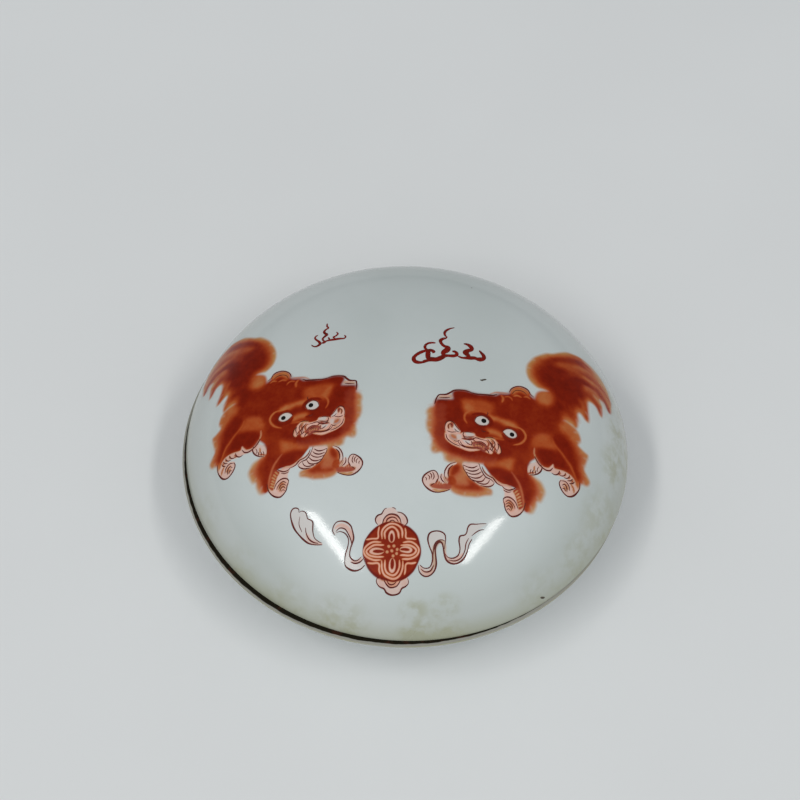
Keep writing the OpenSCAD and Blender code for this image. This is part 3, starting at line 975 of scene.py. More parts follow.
    w.lay("""240,-146 251,-145 256,-154 252,-164 244,-170 232,-171 229,-162
        232,-152""", pale, 0.12, 0.55)
    w.lay("""245,-134 251,-146 260,-150 270,-150 276,-144 280,-140 282,-148 296,-149 310,-152
        320,-159 324,-168 316,-170 304,-163 284,-161 272,-159 256,-156
        247,-148""", 0.08, 0.12, 0.7)
    w.stroke("""279,-86 284,-100 297,-114 309,-128 319,-145 327,-162
        329,-172""", 0.4, 0.52, 0.22, 1.0, 0.7)
    w.stroke("244,-114 242,-126 245,-136", 0.3, 0.36, 0.1, 0.9)
    w.lay("""292,-169 302,-166 316,-166 326,-170 330,-176 324,-186 312,-194 303,-192
        295,-184""", pale, 0.1, 0.7)
    # Where the raised front leg meets its paw
    w.lay("76,-199 82,-193 90,-196 92,-208 84,-212 78,-209", 0.7, 0.25)
    w.lay("62,-193 66,-190 71,-194 75,-201 77,-208 69,-206 63,-201", pale, 0.12, 0.6)
    w.stroke("69,-196 71,-202 75,-208", 0.3, 0.5, 0.1, 0.8)
    w.stroke("73,-196 75,-201 79,-206", 0.3, 0.62, 0.1, 0.9)
    for width, tone, points in LION_FOLDS:
        w.stroke(points, width + 0.1, tone, 0.07, 0.95, 1.0)
    # Eyes
    w.lay("128,-74 132,-66 142,-63 151,-67 155,-74 150,-81 140,-83 132,-80", 0.1, 0.12, 0.2)
    w.lay("182,-91 189,-85 199,-84 207,-90 208,-98 201,-102 191,-100 185,-95", 0.1, 0.12, 0.2)
    return w


# Drawn lines: (widest width in mm, points). Each one thins out towards its ends.
LION_INK = [
    (0.32, """50,-45 52.5,-34 56,-26 60,-22.5 72,-21 80,-16 86,-11 94,-8.5 106,-8 116,-9.5
        123,-12.5"""),
    (0.34, "120,-11.5 130,-13.5 142,-13 162,-12 172,-8"),
    (0.2, "59,-29.5 68,-29 80,-27.5"),
    (0.16, "56,-36 66,-35 76,-36"),
    (0.26, "196,1 199,9 206,16 216,20 226,19 234,14 238,6 245,0"),
    (0.18, "201,-2 207,7 216,10 225,8 231,2"),
    (0.2, "74,-102 82,-104.5 92,-103"),
    (0.2, "72,-109 75,-119 86,-128 100,-133"),
    (0.18, "87,-122 93,-123 99,-120"),
    (0.18, "99,-122 103,-129 112,-133 126,-133"),
    (0.18, "104,-106 106,-112 112,-116 122,-116 129,-112 140,-114 152,-116"),
    (0.24, "102,-117 109,-115 116,-118 123,-116 129,-120"),
    (0.2, "107,-102 105,-108 109,-112 117,-111.5 127,-110"),
    (0.22, "95,-122 99,-129 107,-133 120,-134 136,-132"),
    (0.2, "154,-115 160,-121 162,-129 159,-136"),
    (0.16, "171,-117 173,-125 171,-133"),
    (0.18, "121,-119 122,-125 120,-129"),
    (0.18, "129,-120 139,-119 147,-123 151,-129"),
    (0.14, "128,-126 137,-125 144,-129"),
    (0.18, "152,-112 157,-119 159,-127 156,-134"),
    (0.16, "159,-111 165,-116 166,-123 163,-129"),
    (0.18, "146,-132 152,-136 155,-142"),
    (0.16, "155,-132 160,-134 164,-139"),
    (0.18, "172,-118 177,-126 178,-136 174,-141"),
    (0.18, "147,-109 158,-107 166,-109"),
    (0.2, "71,-103 70,-94 73,-84 80,-80.5 87,-84 92,-92 99,-100"),
    (0.18, "78,-99 76,-92 79,-87 83,-88 84,-94"),
    (0.16, "88,-96 92,-101 98,-103"),
    (0.16, "109,-121 115,-126 122,-129"),
    (0.16, "132,-122 140,-123 146,-127"),
    (0.16, "166,-129 170,-134 169,-139"),
    (0.14, "102,-103 114,-101.5 126,-102.5"),
    (0.2, "92,-166 80,-171 72,-182 70,-193 73,-201"),
    (0.22, "86,-172 79,-180 77,-190 79,-197"),
    (0.26, """59,-202 58,-194 55,-188 50,-185.5 42,-188 33,-195 29,-203 31,-212 39,-221 50,-226.5
        60,-227 72,-224 81,-220"""),
    (0.2, "47,-188 50,-193 50.5,-199 48,-204"),
    (0.18, "42,-190 46,-195 45,-202"),
    (0.18, "38,-194 42,-198 41.5,-204"),
    (0.18, "34,-199 36.5,-202 36,-206"),
    (0.18, "58.5,-200 56,-205 53,-210"),
    (0.2, "64.5,-191 63.5,-198 66,-204 71,-208"),
    (0.18, "44,-216 48,-212 52,-210"),
    (0.22, "105,-170 114,-173.5 124,-174 133,-169"),
    (0.22, "109,-178 120,-181 130,-179 136,-174"),
    (0.22, "111,-184 122,-187 133,-185 140,-180"),
    (0.22, "115,-191 126,-194 136,-192 144,-185"),
    (0.22, "121,-197 132,-200 142,-198 148,-190"),
    (0.22, "131,-202 144,-204 152,-201 156,-194"),
    (0.22, "138,-207 151,-208 160,-205 165,-199"),
    (0.18, "105,-170 106,-177 111,-185 117,-194 128,-202"),
    (0.2, "135,-164 140,-177 148,-189 158,-193 165,-199"),
    (0.22, "141,-169 145,-179 153,-186 162,-190 170,-199 180,-203"),
    (0.22, "179,-202 184,-207 192,-209 200,-206 206,-202"),
    (0.18, "182,-210 190,-213 198,-211"),
    (0.24, "182,-232 182,-227 187,-223 194,-222.5 201,-226 206,-232 209.5,-241"),
    (0.18, "186,-232 192,-228 198,-231 203,-238 204,-243"),
    (0.18, "186,-237 191,-233.5 197,-236 200,-243"),
    (0.18, "187,-242 191,-238.5 196,-241 198,-247"),
    (0.16, "188,-247 192,-244 196,-248"),
    (0.26, "182,-231 184,-237 185,-244 188,-250 196,-257 206,-255.5 215,-249 221,-240 224,-228"),
    (0.26, "243,-132 249,-144 256,-151 265,-156 273,-155 279,-148"),
    (0.22, "276,-159 282,-161.5 289,-158 292,-151"),
    (0.2, "290,-159 297,-160 302,-157 304,-152"),
    (0.2, "300,-162 306,-162 311,-158 312,-154"),
    (0.2, "307,-166 314,-164 318,-159"),
    (0.2, "311,-170 318,-168 322,-163"),
    (0.24, "255,-147 257,-155 252,-164 243,-170 233,-172"),
    (0.16, "246,-160 244.5,-164 245,-169"),
    (0.16, "241,-160 239,-164 239,-170"),
    (0.16, "236,-160 234,-165 234,-170"),
    (0.16, "251,-152 248,-158 249,-164"),
    (0.26, "294,-169 291,-175 293,-183 299,-191 307,-195 317,-192 326,-183 332,-172 333,-160"),
    (0.2, "294,-170 303,-169 310,-175 312,-184"),
    (0.2, "296,-178 302,-175 306,-181 306,-188"),
    (0.18, "297,-184 301,-183 303,-188"),
    (0.2, "127,-76 130,-68 137,-63 146,-62 153,-67 156,-74 152,-81"),
    (0.16, "127,-76 132,-82 141,-84.5 150,-82"),
    (0.18, "181,-91 188,-84 198,-83 207,-88 210,-96 206,-102"),
    (0.16, "182,-92 188,-99 196,-103 204,-103"),
    (0.16, "140,-93 144,-97 149,-95"),
    (0.16, "150,-60 153,-56 152,-52"),
]
LION_PUPILS = [(14.5, -7.3, 0.58), (19.95, -9.45, 0.54)]


def ellipse(x, y, rx, ry, count=14):
    """Points round an ellipse."""
    return [
        (x + rx * math.cos(2 * math.pi * k / count), y + ry * math.sin(2 * math.pi * k / count))
        for k in range(count)
    ]


# Pale lines left in the red of the brocade ball: (width, points)
BALL_PETALS = [
    (0.3, "-38,-315 -39,-304 -34,-296 -26,-293 -19,-296 -14,-303 -13,-314"),
    (0.3, "-44,-315 -44,-302 -40,-294 -33,-289 -25,-287.5 -17,-289 -10,-294 -7,-302 -7,-313"),
    (0.27, "-50,-293 -51,-304 -51,-312 -54,-314.2 -62,-314.2 -73,-315"),
    (0.27, "-2,-295 -0.5,-304 -0.5,-312 3,-314 10,-314 19.5,-315"),
    (0.3, "-38,-349 -38,-360 -33,-369 -24,-372.5 -16,-369 -11,-360 -11,-349"),
    (0.3, "-44,-350 -43,-363 -38,-372 -31,-376 -24,-377.5 -16,-376 -9,-371 -5,-362 -4.5,-350"),
    (0.27, "-70,-353 -60,-354.5 -51,-354.5 -48,-358 -48,-365 -45,-372"),
    (0.27, "21,-352 12,-354 4,-354 0.5,-357 0.5,-364 -1,-371"),
    (0.3, "-40,-325 -55,-325 -66,-329 -71.5,-334.5 -66,-341 -54,-344 -40,-344"),
    (0.3, "-46,-320 -60,-320.5 -71,-325 -76.5,-334 -71,-343 -58,-349 -45,-349.5"),
    (0.3, "-10,-325.5 4,-325 15,-328 20,-333 15,-339 3,-342 -10,-342"),
    (0.3, "-6,-320.5 8,-319.5 20,-324 25,-332 20,-342 7,-347 -6,-348"),
]
BALL_SEEDS = "-26,-334.5 -31,-327.5 -22,-326.5 -16,-332 -34.5,-336.5 -17,-338.5 -23.5,-342.5"
BALL_LOBES = [
    """-48,-293 -53,-289 -56,-284 -57,-278 -53,-273 -46,-270 -43,-265 -40,-261 -33,-259.5
        -26,-258.5 -21,-261 -17,-266 -9,-268 -2,-272 2.5,-280 2,-286 -3,-291 -25,-296""",
    """-50,-374 -52.5,-381 -47,-388 -38,-391.5 -33,-397 -22,-400 -10,-397.5 -5,-391 2,-388 7,-383
        5,-376 -24,-370""",
]
BALL_INK = [
    (0.24, "-52,-290 -56,-285 -57,-279 -53,-273 -46,-270 -43,-265 -40,-261 -36,-259.5"),
    (0.16, "-27,-258.5 -23,-259 -19,-262"),
    (0.24, "-17,-266.5 -9,-268 -2,-273 2,-280 2,-286 -2,-291"),
    (0.28, "-44,-289 -41,-279 -34,-272 -26,-270.5 -17,-273 -11,-280 -9,-288"),
    (0.24, "-38,-286 -34,-279 -26,-276 -19,-278 -14,-285"),
    (0.2, "-33,-286 -26,-281.5 -19,-285"),
    (0.24, """-50,-374 -52.5,-381 -47,-388 -38,-391.5 -33,-397 -22,-400 -10,-397.5 -5,-391 2,-388
        7,-383 5,-376"""),
    (0.22, "-40,-377 -35,-384 -29,-389 -23,-390 -15,-388 -10,-383 -7,-377"),
    (0.17, "-34,-379 -29,-385 -24,-386 -18,-384 -14,-379"),
]


# Pale buds round the middle of the ball: (x, y, reach in x, reach in y), and how far the red
# inside them is moved
BALL_BUDS = [
    (-2.6, -31, 0.62, 1.1, 0, -0.2), (-2.45, -35.75, 0.66, 1.15, 0, 0.25),
    (-5.3, -33.5, 1.35, 0.58, 0.3, 0), (0.1, -33.25, 1.2, 0.56, -0.2, 0),
]


def paint_ball(step):
    """The brocade ball: a red disc with petals of pale lines, between two clouded tufts."""
    w = Wash(-8.8, -40.8, 3.8, -25.2, step, 11)
    for lobe in BALL_LOBES:
        w.lay(lobe, 0.03, 0.14, 0.5)
    w.lay(ellipse(-2.5, -33.35, 5.4, 4.95, 20), 1.0, 0.1)
    w.lay(ellipse(-2.5, -33.35, 5, 4.55, 20), 0.86, 0.16)
    w.lay("""-43,-287 -39,-278 -33,-272 -26,-270 -18,-272 -12,-279 -9,-287
        -26,-285""", 0.13, 0.1, 0.85)
    w.lay("-41,-378 -33,-386 -24,-390 -15,-386 -8,-378 -24,-379", 0.13, 0.1, 0.85)
    for points in ("-50,-289 -51,-280 -46,-276", "-5,-289 -4,-281 -9,-275",
                   "-46,-379 -43,-384 -36,-387", "-2,-380 0,-383 -6,-385"):
        w.stroke(points, 0.7, 0.1, 0.2, 0.6, 0.8)
    w.stroke("-47,-289 -36,-286.5 -26,-286 -16,-286.5 -5,-289", 0.4, 1.0, 0.1)
    w.stroke("-44,-377.5 -34,-379 -24,-380 -15,-379 -5,-377.5", 0.4, 1.0, 0.1)
    for x, y, rx, ry, dx, dy in BALL_BUDS:
        w.lay(ellipse(x, y, rx, ry), 0.05, 0.08, 0.8)
        w.lay(ellipse(x + dx, y + dy, rx - 0.3, ry - 0.3), 0.9, 0.08)
    for width, points in BALL_PETALS:
        w.stroke(points, width + 0.05, 0.05, 0.08, 0.95, 1.0, 0.1)
    for x, y in placed(BALL_SEEDS):
        w.lay(ellipse(x, y, 0.27, 0.25, 8), 0.24, 0.1, 0.9)
    return w


RIBBON_FILLS = [
    """-201,-259 -204,-252 -211,-251 -217,-260 -214,-274 -208,-287 -200,-297 -190,-307 -180,-314
        -168,-317 -156,-318 -166,-311 -173,-299 -174,-280 -182,-273 -189,-261 -196,-257""",
    """-132,-304 -136,-296 -132,-286 -122,-281 -112,-283 -103,-290 -98,-304 -97,-316 -101,-330
        -104,-338 -98,-347 -87,-348 -80,-343 -76,-350 -77,-358 -90,-363 -104,-361 -112,-352
        -110,-336 -104,-322 -107,-306 -116,-298 -125,-297""",
    """25,-356 33,-360 46,-359 50,-350 50,-339 43,-324 41,-310 47,-301 58,-298 70,-301 74,-310
        73,-326 75,-340 85,-343 96,-338 100,-326 100,-306 109,-301 114,-290 120,-281 136,-279
        150,-278 132,-292 120,-308 114,-328 102,-345 86,-350 76,-345 69,-328 63,-318 57,-326
        57,-350 50,-368 36,-372 27,-366""",
]
RIBBON_SHADES = [
    (0.8, 0.12, "28,-359 36,-367 47,-365 53,-354"),
    (0.8, 0.42, "49,-362 53.5,-352 53,-336 56,-323 64,-316 71,-319 73,-334"),
    (0.7, 0.12, "72,-330 76,-342 86,-346 98,-342 107,-332"),
    (0.7, 0.1, "-186,-297 -180,-308 -168,-315 -156,-318"),
    (0.7, 0.1, "-132,-294 -123,-288 -110,-292 -102,-304 -99,-320"),
    (0.5, 0.1, "-100,-349 -90,-351 -80,-346"),
]
RIBBON_INK = [
    (0.3, """24,-356 27,-367 36,-372.5 46,-371 54,-364 57.5,-354 56.5,-342 55,-330 57,-322 62,-317
        67,-318 70,-326 72,-336 76,-345 83,-349.5 92,-350 102,-346 110,-338 115,-327 118,-316
        123,-307"""),
    (0.26, """27,-356 35,-360.5 45,-359 50,-350 50,-338 44,-325 41,-313 44,-303 53,-298.5 64,-298.5
        72,-303 74,-312 72,-328"""),
    (0.22, "29,-362 37,-366 47,-364 53,-355"),
    (0.24, "51.5,-340 52,-330 55,-320 61,-314.5 68,-313 73,-315"),
    (0.24, """73,-335 79,-341 89,-341.5 98,-336 101,-326 99,-312 101,-304 109,-301.5 113,-297
        115,-288 120,-281.5 131,-280 142,-278 150,-277"""),
    (0.2, "80,-345 92,-345.5 103,-340 110,-328 112,-316 117,-306"),
    (0.16, "122,-302 130,-295 138,-290 146,-288"),
    (0.28, """-201,-259 -202,-253 -208,-250 -214,-252 -217,-260 -214,-274 -208,-287 -200,-297
        -190,-307 -180,-314 -168,-317.5 -155,-319"""),
    (0.2, """-201,-259 -196,-257 -189,-260 -186,-266 -184,-272 -178,-275 -174,-280 -173.5,-294
        -170,-306 -162,-313 -156,-316"""),
    (0.22, "-187.5,-287 -186,-296 -181,-306 -172,-313 -162,-316"),
    (0.14, "-199,-266 -200,-280 -194,-294"),
    (0.26, """-132,-305 -136,-298 -135,-290 -130,-283 -122,-281 -112,-283 -103,-290 -99,-300
        -96.5,-312 -99,-321 -102,-330 -103,-340 -99,-346 -93,-349 -87,-348 -81,-343"""),
    (0.22, "-130,-299 -123,-293.5 -113,-296 -106,-306 -101,-317 -100,-323"),
    (0.2, "-129,-301 -122,-299.5 -112,-304 -106,-314 -107,-326 -111,-338 -112,-350"),
    (0.22, "-101,-350.5 -92,-353 -83,-351 -77,-346"),
    (0.26, "-112.5,-349 -110,-356 -102,-361.5 -92,-364 -82,-362 -74,-356"),
]


def paint_ribbons(step):
    """A faint pink wash inside the ribbon's outlines."""
    w = Wash(-22.6, -38.4, 16, -24.2, step, 13)
    for fill in RIBBON_FILLS:
        w.lay(fill, 0.02, 0.14, 0.2)
    for width, tone, points in RIBBON_SHADES:
        w.stroke(points, width, tone, 0.14, 0.66, 0.9)
    return w


FLAME_INK = [
    (0.6, "51,108 43,108 35,105 31,100 30,94 33,89 39,86"),
    (0.8, "39,88 30,85 21,80 13,73 8.5,66 9,59 14,54.5 22,54 30,56 40,61"),
    (1.15, "32,88 36,82 36,74 37,67 43,64 52,64 60,68"),
    (0.75, "34,87 42,87 48,84 45,80"),
    (1.0, "26,57 40,61 52,63 62,69 70,75 80,76 89,78"),
    (0.85, "74,76 85,76 92,79 93,84 89,88 84,88"),
    (0.5, "89,156 80,152 72,145 69,138 70,131 73.5,126 69,122"),
    (0.75, "73,124 66,121 61,116 62,109 67,102 74,98 80,96"),
    (1.1, "70,102 76,97 73,90 67,84 66,79 72,76"),
    (0.8, "107,112 114,111 120,107 123,101 121,96 115,92 110,91"),
    (1.05, "120,99 113,92 110,88 113,84 116,80 114,75 109,73"),
    (0.85, "95,77 103,73.5 112,74 120,75 129,76 136,73 143,74 147,79 146,86 142,92 138,98"),
    (1.0, "130,75 138,74 145,77 146,84"),
    (0.52, """-167,170 -167,162 -164,156 -169,152 -172,146 -170,141 -166,137 -170,132 -174,126
        -172,120 -168,116 -174,112"""),
    (0.52, "-184,138 -189,134 -189,128 -184,122 -180,117 -179,111 -186,106 -191,107 -196,112"),
    (0.44, "-147,142 -144,136 -149,130 -153,128 -149,124"),
    (0.55, "-177,113 -168,118 -160,120 -150,121 -140,122 -131,122 -128,127 -131,131"),
    (0.39, "-163,129 -160,122"),
]

KILN_MARKS = [
    (0.42, "139,21 143,22 148,24 151,25"),
    (0.3, "139,23 141,21 144,20"),
    (0.2, "259,-360 264,-358 268,-356"),
]


# ---------------------------------------------------------------------------
# From the flat brushwork to pieces on the lid
# ---------------------------------------------------------------------------
def as_drawn(x, y):
    """Leaves flat points where they are. The last value says whether they are turned over."""
    return x, y, False


def other_side(x, y):
    """The left lion is the right one turned over, a little further back, with a shorter tail."""
    body = np.interp(x, (3, 7, 14.5, 18, 31, 35.5), (1.35, 1.0, 0.15, 0.0, -0.2, -1.1))
    tail = np.interp(x, (23, 41.5), (-0.75, -3.4))
    share = np.clip((y + 6) / 8, 0, 1)
    share = share * share * (3 - 2 * share)
    high = np.clip((y - 8) / 4, 0, 1)
    return -(x + body * (1 - share) + tail * share) - 4.2, y + 3.15 + 0.6 * high, True


def enamel_film(name, wash, sizes, material, place=as_drawn):
    """Makes a closed, hair-thin film from a wash, laid on the dome. place maps flat points."""
    gx, gy = np.meshgrid(wash.x, wash.y)
    painted = wash.cover > 0.004
    cells = painted[:-1, :-1] | painted[1:, :-1] | painted[:-1, 1:] | painted[1:, 1:]
    used = np.zeros_like(painted)
    for corner in (used[:-1, :-1], used[1:, :-1], used[:-1, 1:], used[1:, 1:]):
        corner |= cells
    number = np.full(painted.shape, -1)
    number[used] = np.arange(used.sum())
    i, j = np.nonzero(cells)
    quads = np.c_[number[i, j], number[i, j + 1], number[i + 1, j + 1], number[i + 1, j]]
    x, y, turned_over = place(gx[used], gy[used])
    if turned_over:
        quads = quads[:, ::-1]
    count = len(x)
    film = sizes.film / MM
    top = lay_on_dome(sizes, x, y, film)
    under = lay_on_dome(sizes, x, y, -0.5 * film)
    # The rim of the film: the edges that only one cell uses
    seen = {}
    for quad in quads.tolist():
        for a, b in zip(quad, quad[1:] + quad[:1]):
            if (b, a) in seen:
                del seen[(b, a)]
            else:
                seen[(a, b)] = True
    rim = np.array(list(seen), int).reshape(-1, 2)
    sides = np.c_[rim[:, 1], rim[:, 0], rim[:, 0] + count, rim[:, 1] + count]
    faces = np.vstack([quads, quads[:, ::-1] + count, sides])
    mesh = bpy.data.meshes.new(name)
    mesh.vertices.add(2 * count)
    mesh.vertices.foreach_set("co", np.vstack([top, under]).ravel())
    mesh.loops.add(4 * len(faces))
    mesh.loops.foreach_set("vertex_index", faces.ravel().astype(np.int32))
    mesh.polygons.add(len(faces))
    mesh.polygons.foreach_set("loop_start", np.arange(0, 4 * len(faces), 4, dtype=np.int32))
    mesh.update(calc_edges=True)
    mesh.validate()
    for key, values in (("cover", wash.cover[used]), ("tone", wash.tone[used])):
        mesh.attributes.new(key, "FLOAT", "POINT").data.foreach_set(
            "value", np.r_[values, values].astype(np.float32)
        )
    mesh.materials.append(material)
    finished(name, mesh, "lid", recalculate=False)
    mesh.set_sharp_from_angle(angle=math.radians(40))


def drawn_lines(name, strokes, sizes, material, place=as_drawn, lift=0.02, wider=1.0, seed=3):
    """Makes raised strokes from paths of (width, points), laid on the dome."""
    vertices, edges, widths = [], [], []
    rng = np.random.default_rng(seed)
    for width, points in strokes:
        line = flowing(points, False, 0.22)
        far = np.r_[0, np.cumsum(np.linalg.norm(np.diff(line, axis=0), axis=1))]
        ends = np.clip(np.minimum(far, far[-1] - far) / (0.35 * far[-1]), 0, 1)
        press = 1 + 0.14 * np.sin(far * 1.7 + rng.uniform(0, 6))
        half = wider * width / 2 * (0.3 + 0.7 * np.sqrt(ends)) * press
        start = len(vertices)
        vertices += [(px, py, 0.0) for px, py in line]
        edges += [(start + k, start + k + 1) for k in range(len(line) - 1)]
        widths += list(half)
    mesh = run_nodes(
        name, vertices, edges, stroke_tree(), {"Flatness": 0.14, "Sides": 8, "Enamel": material},
        {"half width": widths},
    )
    co = points_of(mesh)
    x, y, _ = place(co[:, 0], co[:, 1])
    mesh.vertices.foreach_set("co", lay_on_dome(sizes, x, y, co[:, 2] + lift).ravel())
    finished(name, mesh, "lid")


def dabs(name, spots, sizes, material, place=as_drawn):
    """Small round dabs of enamel, a little domed: (x, y, radius) each."""
    sides, lift = 20, 0.03
    # Rings from the top down to the glaze, as (reach, lift), and a point below it to close them
    rings = [(0.0, 1.2 * lift)]
    for angle in np.linspace(0.25, math.pi / 2, 5):
        rings.append((math.sin(angle), lift * (0.2 + math.cos(angle))))
    rings.append((0.0, -0.02))
    work = bmesh.new()
    for x, y, radius in spots:
        grid = []
        for reach, height in rings:
            count = sides if reach else 1
            turns = np.arange(count) * 2 * math.pi / count
            px, py = x + radius * reach * np.cos(turns), y + radius * reach * np.sin(turns)
            px, py, _ = place(px, py)
            grid.append([work.verts.new(p) for p in lay_on_dome(sizes, px, py, height)])
        for a, b in zip(grid, grid[1:]):
            for k in range(sides):
                m = (k + 1) % sides
                if len(a) == 1:
                    work.faces.new((a[0], b[k], b[m]))
                elif len(b) == 1:
                    work.faces.new((a[m], a[k], b[0]))
                else:
                    work.faces.new((a[k], b[k], b[m], a[m]))
    mesh = bpy.data.meshes.new(name)
    bmesh.ops.recalc_face_normals(work, faces=work.faces)
    work.to_mesh(mesh)
    work.free()
    mesh.materials.append(material)
    finished(name, mesh, "lid")


# ---------------------------------------------------------------------------
# Operators
# ---------------------------------------------------------------------------
# Where the camera of the photograph stood, the way it looked, and its upward side
CAMERA_PLACE = Vector((-1.074, -182.96, 285.896)) * MM
CAMERA_WAY = Vector((0.0, 0.5857, -0.8105))
CAMERA_UP = Vector((-0.024, 0.8103, 0.5856))
CAMERA_LENS_MM = 72.0
# Two long softboxes, one each side, which draw the bright streaks on the lid: name, middle,
# size in metres, watts
SOFTBOXES = (
    ("softbox left", (-0.70, -0.67, 1.39), (0.155, 1.22), 7.6),
    ("softbox right", (0.73, -0.6, 1.43), (0.15, 0.98), 5.4),
)
# Where the clay is bare, in mm from the axis: on the base's ledge between two radii, and on the
# lid from the first radius outwards, with its mouth as far as the second
LEDGE_CLAY = (39.0, 44.84)
EDGE_CLAY = (40.6, 41.6)


def upright(across, up, back, place):
    """A matrix from three axes and a place."""
    matrix = Matrix((across, up, back)).transposed().to_4x4()
    matrix.translation = place
    return matrix


class SEALBOX_OT_stage(bpy.types.Operator):
    """Sets the camera, the floor and the soft lights"""

    bl_idname = "sealbox.stage"
    bl_label = "Stage"

    def execute(self, context):
        scene = context.scene
        scene.view_settings.view_transform = "Standard"
        camera = bpy.data.cameras.new("camera")
        camera.lens = CAMERA_LENS_MM
        camera.sensor_width = 36.0
        camera.clip_start = 0.01
        eye = bpy.data.objects.new("camera", camera)
        scene.collection.objects.link(eye)
        back = -CAMERA_WAY.normalized()
        right = CAMERA_UP.cross(back).normalized()
        eye.matrix_world = upright(right, back.cross(right), back, CAMERA_PLACE)
        scene.camera = eye

        bpy.ops.mesh.primitive_plane_add(size=6.0, location=(0, 0.6, 0))
        floor = context.object
        floor.name = "floor"
        floor.data.materials.append(floor_material(scene.seal_box_colours))

        for name, middle, size, watts in SOFTBOXES:
            lamp = bpy.data.lights.new(name, "AREA")
            lamp.shape = "RECTANGLE"
            lamp.size, lamp.size_y = size
            lamp.energy = watts
            lamp.color = (1.0, 0.985, 0.96)
            holder = bpy.data.objects.new(name, lamp)
            scene.collection.objects.link(holder)
            place = Vector(middle)
            back = (place - Vector((0, 0, 0.03))).normalized()
            along = (Vector((0, 1, 0)) - back * back.y).normalized()
            holder.matrix_world = upright(along.cross(back).normalized(), along, back, place)
        world = bpy.data.worlds.new("soft room")
        scene.world = world
        world.use_nodes = True
        tree = world.node_tree
        tree.nodes.clear()
        # Bright towards the front and above, dim behind, as in a studio with a dark back wall
        way = add(tree, "ShaderNodeTexCoord").outputs["Generated"]
        glow = add(tree, STEP, add(tree, ALONG, way, (0.0, -0.64, 0.77)), 0.1, 1.0, 0.28, 0.785)
        sky = add(tree, "ShaderNodeBackground", linear("#EEF2F6"), glow)
        add(tree, "ShaderNodeOutputWorld", sky)
        return {"FINISHED"}


class SEALBOX_OT_lid(bpy.types.Operator):
    """Turns the domed lid, glazed except on its edge and mouth"""

    bl_idname = "sealbox.lid"
    bl_label = "Lid"

    def execute(self, context):
        s = context.scene.seal_box_sizes
        lift = np.array([0, s.seam_height])
        outer = two_arcs(s.rim_radius, s.lid_rise, s.lid_shoulder, s.lid_slope) + lift
        inner = two_arcs(s.rim_radius, s.lid_rise, s.lid_shoulder, s.lid_slope, s.wall) + lift
        top = s.seam_height + s.mouth_height
        inner = inner[inner[:, 1] > top + 0.3 * MM]
        near_r, near_z = inner[0]
        start_r = float(np.interp(top, [near_z - 1e-3, near_z], [near_r + 4e-4, near_r]))
        shelf = [(start_r, top), (s.mouth_radius, top), (s.mouth_radius, s.seam_height),
                 (s.rim_radius - 0.02 * MM, s.seam_height)]
        outline = np.vstack([inner[::-1], shelf, outer[1:]])
        outline[0, 0] = outline[-1, 0] = 0.0
        centre = (s.lid_right, s.lid_back)
        mesh = fired("lid_shell", eased(outline, 0.3 * MM), centre)
        finished("lid_shell", mesh, "lid", "lid")
        seam = s.seam_height / MM
        first, mouth = EDGE_CLAY
        lay_bare(mesh, centre, lambda r, z: (r > first) & (
            (z < seam + 0.14) | (r < mouth) & (z < seam + 3.4)))
        return {"FINISHED"}


class SEALBOX_OT_base(bpy.types.Operator):
    """Turns the footed base with its ledge, flange and well"""

    bl_idname = "sealbox.base"
    bl_label = "Base"

    def execute(self, context):
        s = context.scene.seal_box_sizes
        outer, inner = bowl_side(s), bowl_side(s, s.wall)
        well = s.flange_radius - s.flange_thickness
        inside = inner[(inner[:, 0] < well - 0.2 * MM)
                       & (inner[:, 1] > s.floor_height + 0.05 * MM)]
        floor_r = float(inside[-1, 0] - 0.6 * MM)
        wall_z = float(inside[0, 1] + 0.2 * MM)
        top = s.seam_height + s.flange_height
        root_z = 3.9 * MM
        root_r = s.foot_radius + root_z * math.tan(math.radians(8))
        side = outer[outer[:, 0] > root_r + 0.3 * MM]
        outline = np.vstack([
            [(0.0, s.floor_height), (floor_r, s.floor_height)],
            inside[::-1],
            [(well, wall_z), (well, top), (s.flange_radius, top), (s.flange_radius, s.seam_height),
             (s.rim_radius - 0.02 * MM, s.seam_height)],
            side[1:],
            [(root_r, root_z), (s.foot_radius, 0.0), (s.foot_inner, 0.0),
             (s.foot_inner - 0.3 * MM, s.recess), (0.0, s.recess)],
        ])
        mesh = fired("base_bowl", eased(outline, 0.5 * MM))
        finished("base_bowl", mesh, "root", "base")
        seam = s.seam_height / MM
        first, last = LEDGE_CLAY
        lay_bare(mesh, (0, 0), lambda r, z: (
            (r > first) & (r < last) & (z > seam - 0.12) | (z < 0.35)))
        return {"FINISHED"}


def waves(x, y, seed, scale_mm):
    """A smooth uneven height from -1 to 1 over flat points, from a few crossed waves."""
    rng = np.random.default_rng(seed)
    total = np.zeros(len(x))
    for _ in range(14):
        angle = rng.uniform(0, 2 * math.pi)
        pitch = 2 * math.pi / (scale_mm * MM * rng.uniform(0.7, 1.8))
        total += np.sin((x * math.cos(angle) + y * math.sin(angle)) * pitch + rng.uniform(0, 6.28))
    return total / 6


